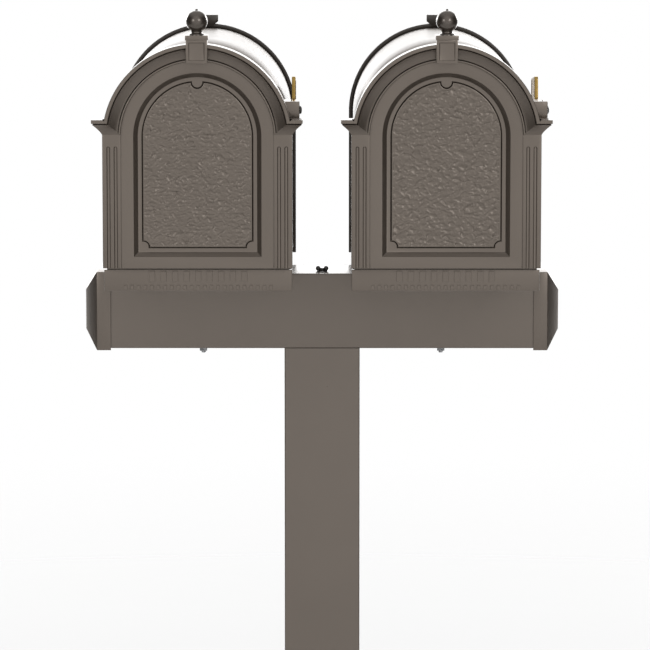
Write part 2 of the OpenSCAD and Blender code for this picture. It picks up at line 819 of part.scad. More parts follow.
module knob() {
  tip = ball_rise + ball_r;
  color(bronze) translate([0, knob_y, key_top]) {
    rotate_extrude() {
      polygon([[0, 0], [neck_r + 1.6, 0], [neck_r + 1.6, 1.4], [neck_r, 2.4],
        [neck_r - 1.8, 4.4], [neck_r - 1.2, 7], [0, 7]]);
      intersection() {
        translate([0, ball_rise]) circle(r = ball_r);
        translate([0, 3]) square([ball_r + 1, 2 * ball_r + 4]);
      }
      polygon([[0, tip - 1], [2.6, tip - 0.5], [1.6, tip + 1.2], [0, tip + 1.6]]);
    }
    translate([0, 0, -knob_stem]) cylinder(r = knob_stem_r, h = knob_stem + 1);
  }
}

module strike_plate() {
  color(zinc) translate([-magnet_half, door_back - strike_t, magnet_top - magnet_h])
    cube([2 * magnet_half, strike_t, magnet_h]);
}

// ---- box: flag ----

slot_in = flag_x - flag_t / 2 - slot_gap;
bracket_screw_head = shell_r - 8;

// Level holes through the shell's side and into the bracket's inner cheek
module bracket_screw_holes(r) {
  for (b = [-1, 1]) translate([0, flag_y + b * bracket_screw_gap / 2, flag_z - bracket_screw_drop])
    rotate([0, 90, 0]) cylinder(r = r, h = slot_in - 1);
}

module flag_bracket() {
  slot_w = flag_t + 2 * slot_gap;
  color(bronze) difference() {
    translate([shell_r - 16, flag_y - bracket_half, flag_z - bracket_low])
      cube([bracket_out - shell_r + 16, 2 * bracket_half, bracket_low + bracket_high]);
    along_y(flag_y - bracket_half - 1, flag_y + bracket_half + 1) translate([0, shell_spring])
      circle(r = shell_r, $fn = 180);
    translate([slot_in, flag_y - bracket_half + bracket_wall, flag_z - flag_hub - 1])
      cube([slot_w, 2 * bracket_half, bracket_high + flag_hub + 2]);
    translate([0, flag_y, flag_z]) rotate([0, 90, 0]) cylinder(r = pin_r, h = bracket_out + 1);
    bracket_screw_holes(screw_r);
  }
}

module bracket_screws() {
  color(zinc) for (b = [-1, 1])
    translate([bracket_screw_head, flag_y + b * bracket_screw_gap / 2, flag_z - bracket_screw_drop])
      rotate([0, -90, 0]) screw(slot_in - 3 - bracket_screw_head);
}

module flag_bolt() {
  color("#35322e") translate([bracket_out, flag_y, flag_z]) rotate([0, 90, 0]) {
    translate([0, 0, shell_r - 1 - bracket_out]) cylinder(r = pin_r, h = bracket_out - shell_r + 1);
    rotate_extrude() polygon([[0, 0], [5.4, 0], [5.4, 1.2], [3.6, 2.6], [0, 3]]);
  }
}

module flag() {
  color(brass) translate([0, flag_y, flag_z]) difference() {
    along_x(flag_x - flag_t / 2, flag_x + flag_t / 2) {
      circle(r = flag_hub);
      translate([0, -flag_arm]) square([blade_start + 1, 2 * flag_arm]);
      polygon([[blade_start, -blade_down], [blade_end, -blade_down],
        [blade_end, blade_up - blade_slope], [blade_start, blade_up]]);
    }
    rotate([0, 90, 0]) cylinder(r = pin_r + turn_fit, h = flag_x * 2);
  }
}

module flag_washer() {
  color(zinc) translate([slot_in + flag_washer_gap, flag_y, flag_z]) rotate([0, 90, 0])
    difference() {
      cylinder(r = 6, h = slot_gap - flag_washer_gap);
      translate([0, 0, -1]) cylinder(r = pin_r + turn_fit, h = 3);
    }
}

// ---- drawing ----

post();
ground_plate();
ground_screws();
crossarm();
post_insert();
insert_screws();
clamp_rod();
rod_washer();
wing_nut();
left_end_cap();
right_end_cap();
cap_screws();
for (s = [-1, 1]) {
  side = s < 0 ? "left_" : "right_";
  at_box(s) shell();
  at_box(s) floor_pan();
  at_box(s) shell_screws();
  at_box(s) saddle();
  at_box(s) saddle_bolts();
  at_box(s) saddle_washers();
  at_box(s) saddle_nuts();
  at_box(s) front_frame();
  at_box(s) door_seal();
  at_box(s) magnet();
  at_box(s) rear_cover();
  at_box(s) rear_screws();
  at_box(s) hinge_pins();
  at_box(s) flag_bracket();
  at_box(s) bracket_screws();
  at_box(s) flag_bolt();
  at_box(s) door();
  at_box(s) door_panel();
  at_box(s) panel_screws();
  at_box(s) knob();
  at_box(s) strike_plate();
  at_box(s) flag();
  at_box(s) flag_washer();
}
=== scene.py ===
import bpy
import bmesh
import math
from mathutils import Matrix, Vector, noise


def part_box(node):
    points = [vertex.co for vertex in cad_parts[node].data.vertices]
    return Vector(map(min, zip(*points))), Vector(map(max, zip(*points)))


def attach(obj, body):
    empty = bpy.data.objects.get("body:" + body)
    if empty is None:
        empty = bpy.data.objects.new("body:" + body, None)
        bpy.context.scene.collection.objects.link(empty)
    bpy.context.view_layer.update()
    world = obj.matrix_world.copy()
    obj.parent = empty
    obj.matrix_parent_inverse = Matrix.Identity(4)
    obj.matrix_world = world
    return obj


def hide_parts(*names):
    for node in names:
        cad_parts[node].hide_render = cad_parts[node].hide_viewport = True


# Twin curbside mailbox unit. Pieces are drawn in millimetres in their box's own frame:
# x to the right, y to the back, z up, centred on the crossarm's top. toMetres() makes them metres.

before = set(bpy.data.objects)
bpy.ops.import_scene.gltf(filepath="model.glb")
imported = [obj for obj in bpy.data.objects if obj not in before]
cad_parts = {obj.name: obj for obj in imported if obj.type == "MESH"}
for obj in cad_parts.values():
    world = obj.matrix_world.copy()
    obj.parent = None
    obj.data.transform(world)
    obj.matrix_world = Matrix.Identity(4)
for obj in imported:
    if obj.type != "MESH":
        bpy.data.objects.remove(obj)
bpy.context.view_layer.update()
scene = bpy.context.scene
noise.seed_set(5)  # noise vectors otherwise start from the clock

mm = 0.001
sides = ("left", "right")
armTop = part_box("crossarm")[1][2]
boxCentre = {s: (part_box(s + "_shell")[0][0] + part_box(s + "_shell")[1][0]) / 2 for s in sides}
print("frame loaded, crossarm top at", round(armTop, 4))

# Camera, placed from the crossarm's top
cameraValues = {
    "right": 0.0072, "distance": 5.5097, "aboveArm": 0.656,
    "tiltDown": math.radians(7.574), "turn": 0.0006, "lens": 226.3, "sensor": 36, "farClip": 200,
}


def makeCamera(v):
    data = bpy.data.cameras.new("viewCamera")
    data.lens = v["lens"]
    data.sensor_width = v["sensor"]
    data.clip_end = v["farClip"]
    camera = bpy.data.objects.new("viewCamera", data)
    camera.location = (v["right"], -v["distance"], armTop + v["aboveArm"])
    camera.rotation_euler = (math.pi / 2 - v["tiltDown"], 0, v["turn"])
    scene.collection.objects.link(camera)
    scene.camera = camera


makeCamera(cameraValues)
print("camera ready")


# A node's output socket that can be used in sums
class Value:
    def __init__(self, graph, socket):
        self.graph = graph
        self.socket = socket

    def maths(self, operation, first, second):
        return self.graph.add("ShaderNodeMath", {"operation": operation}, {0: first, 1: second})

    def __add__(self, other):
        return self.maths("ADD", self, other)

    def __radd__(self, other):
        return self.maths("ADD", other, self)

    def __sub__(self, other):
        return self.maths("SUBTRACT", self, other)

    def __rsub__(self, other):
        return self.maths("SUBTRACT", other, self)

    def __mul__(self, other):
        return self.maths("MULTIPLY", self, other)

    def __rmul__(self, other):
        return self.maths("MULTIPLY", other, self)


# A node tree with its shader in place; add() makes every other node
class Graph:
    def __init__(self, owner, shader="ShaderNodeBsdfPrincipled", output="ShaderNodeOutputMaterial"):
        owner.use_nodes = True
        self.owner = owner
        self.tree = owner.node_tree
        self.tree.nodes.clear()
        self.shader = self.tree.nodes.new(shader)
        end = self.tree.nodes.new(output)
        self.tree.links.new(self.shader.outputs[0], end.inputs[0])

    def fill(self, node, inputs):
        for key, value in inputs.items():
            if isinstance(value, Value):
                self.tree.links.new(value.socket, node.inputs[key])
            else:
                node.inputs[key].default_value = value

    # Adds a node: its settings first, then the values or links of its sockets
    def add(self, kind, settings, inputs, output=0):
        node = self.tree.nodes.new(kind)
        for key, value in settings.items():
            setattr(node, key, value)
        self.fill(node, inputs)
        return Value(self, node.outputs[output])

    def coords(self):
        return self.add("ShaderNodeTexCoord", {}, {}, "Object")

    def noise(self, at, scale, detail=2.0, rough=0.5):
        return self.add("ShaderNodeTexNoise", {},
                        {"Vector": at, "Scale": scale, "Detail": detail, "Roughness": rough})

    def stretch(self, at, scale):
        return self.add("ShaderNodeMapping", {}, {"Vector": at, "Scale": scale})

    def tint(self, factor, dark, light):
        return self.add("ShaderNodeMix", {"data_type": "RGBA"},
                        {0: factor, 6: (*dark, 1), 7: (*light, 1)}, 2)

    def rise(self, along, start, end):
        return self.add("ShaderNodeMapRange", {"interpolation_type": "SMOOTHSTEP"},
                        {0: along, 1: start, 2: end})

    def bump(self, height, depth, under=None):
        inputs = {"Height": height, "Distance": depth}
        if under is not None:
            inputs["Normal"] = under
        return self.add("ShaderNodeBump", {}, inputs)

    def finish(self, inputs):
        self.fill(self.shader, inputs)
        return self.owner


def newMaterial(name):
    return Graph(bpy.data.materials.new(name))


def shadeOf(colour, factor):
    return tuple(c * factor for c in colour)


bronze = (0.145, 0.120, 0.099)

coatValues = {
    "tubeCoat": {"colour": bronze, "metal": 0.6, "rough": 0.30, "peel": 420, "peelDepth": 0.00003,
                 "coat": 0.4, "coatRough": 0.12},
    "castCoat": {"colour": bronze, "metal": 0.68, "rough": 0.30, "peel": 520, "peelDepth": 0.00004,
                 "coat": 0.3, "coatRough": 0.12},
    "sheetCoat": {"colour": bronze, "metal": 0.25, "rough": 0.42, "peel": 420, "peelDepth": 0.00001,
                  "coat": 0.6, "coatRough": 0.4},
    # rear casting: the same bronze coat at 0.3 of its colour, painted shade for the rear cover that sits in
    # shade at the back of the box
    "rearCoatPaintedShade": {"colour": shadeOf(bronze, 0.3), "metal": 0.3, "rough": 0.34, "peel": 520,
                 "peelDepth": 0.00004, "coat": 0.2, "coatRough": 0.15},
    "panelCoat": {"colour": shadeOf(bronze, 0.95), "metal": 0.65, "rough": 0.34, "peel": 700,
                  "peelDepth": 0.00005, "coat": 0.25, "coatRough": 0.2},
    # knob: the same bronze coat at 0.62 of its colour, painted shade for the dark sides that the round ball
    # reflects
    "knobCoatPaintedShade": {"colour": shadeOf(bronze, 0.62), "metal": 0.7, "rough": 0.24, "peel": 520,
                 "peelDepth": 0.00003, "coat": 0.5, "coatRough": 0.08},
    "darkCoat": {"colour": (0.030, 0.026, 0.022), "metal": 0.2, "rough": 0.36, "peel": 900,
                 "peelDepth": 0.00003, "coat": 0.3, "coatRough": 0.15},
}


# pattern shared by all powder coats; grit is a finer and flatter peel
coatPattern = {"cloud": 7.0, "flake": 2600.0, "cloudShare": 0.6, "flakeShare": 0.4,
               "dark": 0.86, "light": 1.14, "peelRough": 0.55, "gritScale": 4.5, "gritDepth": 0.3,
               "smear": 32.0, "smearRough": 0.6, "smearShare": 0.1, "glossDrop": 0.05}


# Powder coat: fine flake in the colour, orange peel in the surface, soft wear in the gloss
def powderCoat(name, v, p):
    g = newMaterial(name)
    at = g.coords()
    blend = g.noise(at, p["cloud"], 3.0) * p["cloudShare"] + g.noise(at, p["flake"], 1.0) * p["flakeShare"]
    tone = g.tint(blend, shadeOf(v["colour"], p["dark"]), shadeOf(v["colour"], p["light"]))
    peel = g.noise(at, v["peel"], 2.0, p["peelRough"])
    grit = g.noise(at, v["peel"] * p["gritScale"], 1.0)
    smear = g.noise(at, p["smear"], 4.0, p["smearRough"])
    gloss = v["rough"] - p["glossDrop"] + smear * p["smearShare"]
    relief = g.bump(grit, v["peelDepth"] * p["gritDepth"], g.bump(peel, v["peelDepth"]))
    return g.finish({"Base Color": tone, "Roughness": gloss, "Normal": relief,
                     "Coat Weight": v["coat"], "Coat Roughness": v["coatRough"], "Metallic": v["metal"]})


# patch and grain are a noise's scale, detail and roughness; draw squeezes the grain's coordinates,
# so that it runs long where the number is small
grainedValues = {
    # polished brass with a drawn grain and faint tarnish
    "polishedBrass": {
        "metal": 1.0, "dark": (0.17, 0.11, 0.032), "light": (0.40, 0.265, 0.08), "toneFrom": "patch",
        "patch": (45.0, 5.0, 0.65), "grain": (2400.0, 2.0, 0.5), "draw": (1.0, 0.06, 1.0),
        "rough": 0.16, "patchRough": 0.16, "grainRough": 0.06, "depth": 0.00002},
    # zinc plate: bluish grey with a grain across and darker spots
    "zincPlate": {
        "metal": 1.0, "dark": (0.40, 0.404, 0.412), "light": (0.62, 0.6262, 0.6386), "toneFrom": "patch",
        "patch": (180.0, 4.0, 0.6), "grain": (1800.0, 2.0, 0.5), "draw": (1.0, 1.0, 0.15),
        "rough": 0.26, "patchRough": 0.16, "grainRough": 0, "depth": 0.00002},
    # mill finish aluminium with rolling lines along y
    "millSheet": {
        "metal": 1.0, "dark": (0.48, 0.47, 0.46), "light": (0.64, 0.63, 0.61), "toneFrom": "grain",
        "patch": (60.0, 5.0, 0.7), "grain": (900.0, 3.0, 0.5), "draw": (1.0, 0.02, 1.0),
        "rough": 0.3, "patchRough": 0.2, "grainRough": 0, "depth": 0.00001},
    # foam rubber with open pores
    "foamRubber": {
        "metal": 0.0, "dark": (0.018, 0.018, 0.018), "light": (0.045, 0.044, 0.043), "toneFrom": "grain",
        "patch": (1500.0, 2.0, 0.5), "grain": (1500.0, 2.0, 0.5), "draw": (1.0, 1.0, 1.0),
        "rough": 0.75, "patchRough": 0.15, "grainRough": 0, "depth": 0.0002},
    # ferrite block in a moulded case
    "magnetCase": {
        "metal": 0.0, "dark": (0.055, 0.055, 0.058), "light": (0.095, 0.095, 0.1), "toneFrom": "grain",
        "patch": (1100.0, 3.0, 0.5), "grain": (1100.0, 3.0, 0.5), "draw": (1.0, 1.0, 1.0),
        "rough": 0.5, "patchRough": 0.15, "grainRough": 0, "depth": 0.00005},
}


def grainedFinish(name, v):
    g = newMaterial(name)
    at = g.coords()
    layers = {"patch": g.noise(at, *v["patch"]), "grain": g.noise(g.stretch(at, v["draw"]), *v["grain"])}
    tone = g.tint(layers[v["toneFrom"]], v["dark"], v["light"])
    gloss = v["rough"] + layers["patch"] * v["patchRough"] + layers["grain"] * v["grainRough"]
    return g.finish({"Base Color": tone, "Metallic": v["metal"], "Roughness": gloss,
                     "Normal": g.bump(layers["grain"], v["depth"])})


spangleValues = {"cell": 130.0, "cellShare": 0.7, "dull": 40.0, "dullShare": 0.3, "dark": (0.42, 0.43, 0.45),
                 "light": (0.66, 0.67, 0.69), "rough": 0.32, "cellRough": 0.2, "depth": 0.00001}


# Galvanised sheet: crystal spangle, each cell with its own shade and gloss
def galvanisedFinish(v):
    g = newMaterial("galvanisedSheet")
    at = g.coords()
    cells = g.add("ShaderNodeTexVoronoi", {"feature": "F1"}, {"Vector": at, "Scale": v["cell"]}, "Color")
    spangle = g.add("ShaderNodeSeparateColor", {}, {0: cells}, 0)
    blend = spangle * v["cellShare"] + g.noise(at, v["dull"], 4.0) * v["dullShare"]
    return g.finish({"Base Color": g.tint(blend, v["dark"], v["light"]), "Metallic": 1.0,
                     "Roughness": v["rough"] + spangle * v["cellRough"],
                     "Normal": g.bump(spangle, v["depth"])})


paint = {name: powderCoat(name, values, coatPattern) for name, values in coatValues.items()}
paint.update({name: grainedFinish(name, values) for name, values in grainedValues.items()})
paint["galvanisedSheet"] = galvanisedFinish(spangleValues)
print("materials ready:", len(paint))

frontTurn = Matrix.Rotation(math.pi / 2, 4, "X")  # a drawing's x, y, proud become x, z, -y
alongX = Matrix.Rotation(math.pi / 2, 4, "Y")  # lays what stands along z down along x


def shift(x, y, z):
    return Matrix.Translation((x, y, z))


# The vertices or edges among what an operator made
def only(kind, made):
    return [g for g in made if isinstance(g, kind)]


def topFace(faces):
    return max(faces, key=lambda f: f.calc_center_median().z)


def lowFace(faces):
    return min(faces, key=lambda f: f.calc_center_median().z)


# Rounds every edge sharper than the angle
def roundOff(bm, width, segments=2, angle=math.radians(35)):
    edges = [e for e in bm.edges if len(e.link_faces) == 2 and e.calc_face_angle(0) > angle]
    bmesh.ops.bevel(bm, geom=edges, offset=width, offset_type="OFFSET", segments=segments, profile=0.5,
                    affect="EDGES", clamp_overlap=True, material=-1, loop_slide=True)


# Arch outline in the drawing plane: a half circle on two legs, as one closed loop of edges
def archLoop(bm, half, spring, bottom, segments=144, height=0.0):
    made = bmesh.ops.create_circle(bm, cap_ends=False, radius=half, segments=segments)["verts"]
    low = [v for v in made if v.co.y < -1e-6]
    bmesh.ops.delete(bm, geom=low, context="VERTS")
    arc = [v for v in made if v.is_valid]
    bmesh.ops.translate(bm, verts=arc, vec=(0, spring, height))
    feet = [v for v in arc if abs(v.co.y - spring) < 1e-4]
    soles = bmesh.ops.extrude_vert_indiv(bm, verts=feet)["verts"]
    for v in soles:
        v.co.y = bottom
    base = bm.edges.new(soles)
    return list(dict.fromkeys(e for v in arc for e in v.link_edges)) + [base]


def loopFace(bm, edges):
    face = bmesh.ops.contextual_create(bm, geom=edges)["faces"][0]
    face.normal_update()
    if face.normal.z < 0:
        face.normal_flip()
    return face


# Grows a skin from an arch face through rings of (half width, spring, foot, height): each ring is
# an inset of the last one, moved to its own size. Returns the face that closes the last ring
def archSkin(bm, rings, segments=144):
    half, spring, foot, height = rings[0]
    face = loopFace(bm, archLoop(bm, half, spring, foot, segments, height))
    for half, rise, low, height in rings[1:]:
        bmesh.ops.inset_region(bm, faces=[face], thickness=0.01, depth=0, use_even_offset=True,
                               use_boundary=True)
        for w in face.verts:
            if w.co.y > (foot + spring) / 2:
                angle = math.atan2(max(w.co.y - spring, 0), w.co.x)
                w.co = (half * math.cos(angle), rise + half * math.sin(angle), height)
            else:
                w.co = (math.copysign(half, w.co.x), low, height)
        spring, foot = rise, low
    return face


# Steps inwards from a face: each step is how far in, then how far out of the plane
def steps(bm, face, moves):
    for inward, rise in moves:
        bmesh.ops.inset_region(bm, faces=[face], thickness=max(inward, 0.002), depth=0,
                               use_even_offset=True, use_boundary=True)
        bmesh.ops.translate(bm, verts=face.verts, vec=(0, 0, rise))


# Turns every face of a closed shape outwards
def faceOutwards(bm):
    bmesh.ops.recalc_face_normals(bm, faces=bm.faces[:])
    if bm.calc_volume(signed=True) < 0:
        bmesh.ops.reverse_faces(bm, faces=bm.faces[:])


# Makes a solid by pushing a copy of a face back
def pushBack(bm, face, depth):
    made = bmesh.ops.extrude_face_region(bm, geom=[face])["geom"]
    bmesh.ops.translate(bm, verts=only(bmesh.types.BMVert, made), vec=(0, 0, depth))
    faceOutwards(bm)


def outlineFace(bm, corners, height=0):
    return bm.faces.new([bm.verts.new((x, y, height)) for x, y in corners])


def roundCorners(bm, verts, width, segments):
    bmesh.ops.bevel(bm, geom=verts, offset=width, segments=segments, profile=0.5, affect="VERTICES",
                    material=-1, clamp_overlap=True)


def roundedSquare(bm, width, corner, segments):
    half = width / 2
    outlineFace(bm, ((-half, -half), (half, -half), (half, half), (-half, half)))
    roundCorners(bm, bm.verts[:], corner, segments)
    return bm.faces[:][0]


def block(bm, low, high):
    made = bmesh.ops.create_cube(bm, size=1)["verts"]
    size = [h - l for l, h in zip(low, high)]
    centre = [(h + l) / 2 for l, h in zip(low, high)]
    bmesh.ops.scale(bm, verts=made, vec=size)
    bmesh.ops.translate(bm, verts=made, vec=centre)
    return made


def rod(bm, radius, length, segments=40, at=Matrix.Identity(4), tip=None):
    made = bmesh.ops.create_cone(bm, cap_ends=True, segments=segments, radius1=radius,
                                 radius2=radius if tip is None else tip, depth=length)["verts"]
    bmesh.ops.transform(bm, matrix=at @ shift(0, 0, length / 2), verts=made)
    return made


# Turns an outline of (radius, height) points a full turn about z
def turned(bm, outline, segments=64, at=Matrix.Identity(4)):
    chain = [bm.verts.new((r, 0, h)) for r, h in outline]
    edges = [bm.edges.new(pair) for pair in zip(chain, chain[1:])]
    before = set(bm.verts) - set(chain)
    bmesh.ops.spin(bm, geom=chain + edges, cent=(0, 0, 0), axis=(0, 0, 1), angle=2 * math.pi,
                   steps=segments, use_merge=True, use_duplicate=False)
    made = [v for v in bm.verts if v not in before]
    bmesh.ops.remove_doubles(bm, verts=made, dist=1e-4)
    made = [v for v in bm.verts if v not in before]
    bmesh.ops.recalc_face_normals(bm, faces=list({f for v in made for f in v.link_faces}))
    bmesh.ops.transform(bm, matrix=at, verts=made)
    return made


def toObject(name, bm, matrix=Matrix.Identity(4)):
    bmesh.ops.transform(bm, matrix=matrix, verts=bm.verts[:])
    mesh = bpy.data.meshes.new(name)
    bm.to_mesh(mesh)
    bm.free()
    thing = bpy.data.objects.new(name, mesh)
    scene.collection.objects.link(thing)
    return thing


# Applies a boolean between two objects that are still in millimetres, and drops the second;
# tangled is for one made of solids that run into each other
def carve(thing, tool, operation="DIFFERENCE", tangled=False):
    made = thing.modifiers.new("cut", "BOOLEAN")
    made.operation = operation
    made.solver = "EXACT"
    made.use_self = tangled
    made.object = tool
    graph = bpy.context.evaluated_depsgraph_get()
    mesh = bpy.data.meshes.new_from_object(thing.evaluated_get(graph))
    thing.modifiers.clear()
    thing.data = mesh
    bpy.data.objects.remove(tool)
    return thing


# Finishes a piece: material, smooth shading up to an angle, its body, the node it stands for
def dress(thing, finish, body, node, angle=32):
    mesh = thing.data
    mesh.materials.clear()
    mesh.materials.append(paint[finish])
    for polygon in mesh.polygons:
        polygon.material_index = 0
        polygon.use_smooth = True
    mesh.set_sharp_from_angle(angle=math.radians(angle))
    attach(thing, body)
    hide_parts(node)
    return thing


def toMetres(side=None):
    return shift(boxCentre[side] if side else 0, 0, armTop) @ Matrix.Scale(mm, 4)


# Takes what is drawn as a front view to its place, its drawing plane at a distance back
def standUp(thing, side, back):
    thing.data.transform(toMetres(side) @ shift(0, back, 0) @ frontTurn)


def makePiece(name, bm, side, finish, body, node, turn=Matrix.Identity(4), angle=32):
    return dress(toObject(name, bm, toMetres(side) @ turn), finish, body, node, angle)


# The separate solids of a CAD node, each as its lowest and highest corner in metres
def solidsOf(node):
    bm = bmesh.new()
    bm.from_mesh(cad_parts[node].data)
    bmesh.ops.remove_doubles(bm, verts=bm.verts[:], dist=1e-6)
    left = set(bm.verts)
    found = []
    while left:
        group = [left.pop()]
        for v in group:
            near = [e.other_vert(v) for e in v.link_edges]
            fresh = [w for w in near if w in left]
            left.difference_update(fresh)
            group.extend(fresh)
        low = Vector([min(v.co[i] for v in group) for i in range(3)])
        high = Vector([max(v.co[i] for v in group) for i in range(3)])
        found.append((low, high))
    bm.free()
    return sorted(found, key=lambda pair: tuple(pair[0]))


print("tools ready")

doorValues = {
    "half": 122.6, "bottom": 32, "spring": 201, "archR": 121.8, "depth": 17.5, "skin": 5, "rim": 8.6,
    "backing": 4, "wall": 3, "draft": 0.4, "mouldW": 23.2, "mouldProud": 13.4, "bead": 2.0, "field": -2.0,
    "recessHalf": 82.5, "recessSpring": 202, "recessBottom": 46.5, "slope": 5.5, "recessDepth": 6,
    "slopeEase": 0.7, "slopeStep": 1.3,
    "capitalTop": 225.2, "capitalH": 20.2,
    "fluteX": (105.4, 114.7), "fluteR": 2.35, "fluteTop": 190, "fluteBelow": 6, "fluteSteps": 10,
    "keyHalf": 13.8, "keyBottom": 297.7, "keyTop": 334, "keyProud": 18, "keyCap": 6.0, "keyCapOut": 0.9,
    "keyFaceIn": 1.2, "keyBorder": 3.6, "keySunk": 1.4,
    "front": -261, "hingeIn": 8, "hingeUp": 4, "pinR": 2.5, "knuckleR": 3.8, "knuckleT": 6,
    "knuckleGap": 0.5, "webIn": 0.05, "webFoot": 0.5, "earX": 106.5, "earT": 5, "earR": 4.0,
    "earSlack": 1.3, "boreSlack": 0.05, "bossHalf": 12, "bossIn": 1.6, "bury": 1, "ease": 0.5,
}

panelValues = {
    "half": 70.3, "spring": 202, "bottom": 59.1, "scoop": 8.5, "thickness": 2.8, "floor": -8.0,
    "cell": 0.85, "border": 2.0, "relief": 1.15, "lump": 5.4, "warp": 3.0, "flare": 2.3, "sunk": 2.0,
    "longer": 1.35, "borderStart": 0.8, "rimWidth": 0.9, "rimDrop": 0.5, "fieldDrop": 0.25, "margin": 2,
    "seed": {"left": 3.7, "right": 15.0},
}


# Solid of the panel's outline with its scooped corners and crown; it widens by the flare over
# the height between low and high
def panelForm(v, flare, low, high):
    slope = flare / (high - low)
    bm = bmesh.new()
    archSkin(bm, [(v["half"], v["spring"], v["bottom"], low),
                  (v["half"] + flare, v["spring"], v["bottom"] - flare, high)], 180)
    loopFace(bm, [e for e in bm.edges if e.is_boundary])
    faceOutwards(bm)
    bites = bmesh.new()
    for x, y in ((-v["half"], v["bottom"]), (v["half"], v["bottom"]), (0, v["spring"] + v["half"])):
        rod(bites, v["scoop"] + slope, high - low + 2, 56, shift(x, y, low - 1),
            v["scoop"] - flare - slope)
    return carve(toObject("form", bm), toObject("bites", bites))


mouldValues = {
    "bury": -4, "corner": 0.5, "fillet": 4.4, "grooveEnd": 5.7, "grooveDeep": 3.6, "coveStart": 6.4,
    "coveDrop": 1.4, "coveSteps": 14, "coveCurve": 1.3, "beadBand": 4.2,
    "beadLine": ((-3.5, -2.4), (-2.9, 0.2), (-2.5, 0.9), (-1.8, 1.1), (-1.0, 0.9), (-0.4, 0.2), (-0.2, -0.7)),
}


# The moulding from its outer edge inwards, as (distance in, how far proud):
# a fillet, a narrow groove, a cove that eases off, and with a bead a second groove and the bead
def mouldLine(width, proud, bead):
    m = mouldValues
    line = [(0, m["bury"]), (0, proud - m["corner"]), (m["corner"], proud), (m["fillet"], proud),
            (m["fillet"] + m["corner"], proud - m["corner"]), (m["grooveEnd"], proud - m["grooveDeep"])]
    start, end = m["coveStart"], width - (m["beadBand"] if bead else 0)
    high, low = proud - m["coveDrop"], bead
    for k in range(m["coveSteps"] + 1):
        t = k / m["coveSteps"]
        line.append((start + (end - start) * t, low + (high - low) * (1 - t) ** m["coveCurve"]))
    if bead:
        line += [(width + x, bead + y) for x, y in m["beadLine"]]
    return line + [(width, m["bury"])]


# Everything that was added to a mesh after a set of its vertices was noted
def newGeometry(bm, before):
    made = [w for w in bm.verts if w not in before]
    return (made, list(dict.fromkeys(e for w in made for e in w.link_edges)),
            list(dict.fromkeys(f for w in made for f in w.link_faces)))


def archMoulding(bm, v):
    line = mouldLine(v["mouldW"], v["mouldProud"], v["bead"])
    chain = [bm.verts.new((v["archR"] - d, 0, p)) for d, p in line]
    edges = [bm.edges.new(pair) for pair in zip(chain, chain[1:] + chain[:1])]
    before = set(bm.verts) - set(chain)
    bmesh.ops.spin(bm, geom=chain + edges, cent=(0, 0, 0), axis=(0, 0, 1), angle=math.pi, steps=96,
                   use_duplicate=False)
    bmesh.ops.translate(bm, verts=newGeometry(bm, before)[0], vec=(0, v["spring"], 0))
    foot = v["capitalTop"] - v["capitalH"]
    inner = v["archR"] - v["mouldW"]
    for s in (-1, 1):
        verts, edges, faces = newGeometry(bm, before)
        cut = bmesh.ops.bisect_plane(bm, geom=verts + edges + faces, plane_co=(s * inner, foot, 0),
                                     plane_no=(s * v["capitalH"], -v["mouldW"], 0), clear_outer=True)
        bmesh.ops.contextual_create(bm, geom=only(bmesh.types.BMEdge, cut["geom_cut"]))
    bmesh.ops.recalc_face_normals(bm, faces=newGeometry(bm, before)[2])


# A capital: the moulding turned level, mitred at the corner and returned along the side
def capital(bm, v, s):
    line = mouldLine(v["capitalH"], v["mouldProud"], 0.0)
    foot = v["capitalTop"] - v["capitalH"]
    inner = v["archR"] - v["mouldW"]
    lean = v["mouldW"] / v["capitalH"]
    chain = []
    for d, p in line:
        y = v["capitalTop"] - d
        chain.append(bm.verts.new((s * (inner + (y - foot) * lean), y, p)))
    edges = [bm.edges.new(pair) for pair in zip(chain, chain[1:] + chain[:1])]
    before = set(bm.faces)
    bmesh.ops.contextual_create(bm, geom=edges)
    for station in ("corner", "back"):
        out = bmesh.ops.extrude_edge_only(bm, edges=edges)["geom"]
        fresh = only(bmesh.types.BMVert, out)
        edges = only(bmesh.types.BMEdge, out)
        for w in fresh:
            if station == "corner":
                w.co.x = s * (v["half"] + w.co.z)
            else:
                w.co.z = -v["depth"]
    bmesh.ops.contextual_create(bm, geom=edges)
    made = [f for f in bm.faces if f not in before]
    bmesh.ops.recalc_face_normals(bm, faces=made)


# The tray from the recess's floor round its rim to the backing that stands in its hollow
def doorCasting(v):
    hole, rise, low = v["recessHalf"], v["recessSpring"], v["recessBottom"]
    floor = v["field"] - v["recessDepth"]
    hollow, wall, draft = v["archR"] - v["rim"], v["wall"], v["draft"]
    bm = bmesh.new()
    archSkin(bm, [
        (hole - v["slope"], rise, low + v["slope"], floor),
        (hole - v["slope"] + v["slopeEase"], rise, low + v["slope"] - v["slopeEase"], floor + v["slopeStep"]),
        (hole - v["slopeEase"], rise, low + v["slopeEase"], v["field"] - v["slopeStep"]),
        (hole, rise, low, v["field"]),
        (v["archR"], v["spring"], v["bottom"], v["field"]),
        (v["archR"], v["spring"], v["bottom"], -v["depth"]),
        (hollow, v["spring"], v["bottom"] + v["rim"], -v["depth"]),
        (hollow - draft, v["spring"], v["bottom"] + v["rim"] + draft, -v["skin"]),
        (hole + wall, rise, low - wall, -v["skin"]),
        (hole + wall - draft, rise, low - wall + draft, floor - v["backing"]),
    ])
    loopFace(bm, [e for e in bm.edges if e.is_boundary])
    faceOutwards(bm)
    roundOff(bm, v["ease"])
    return bm


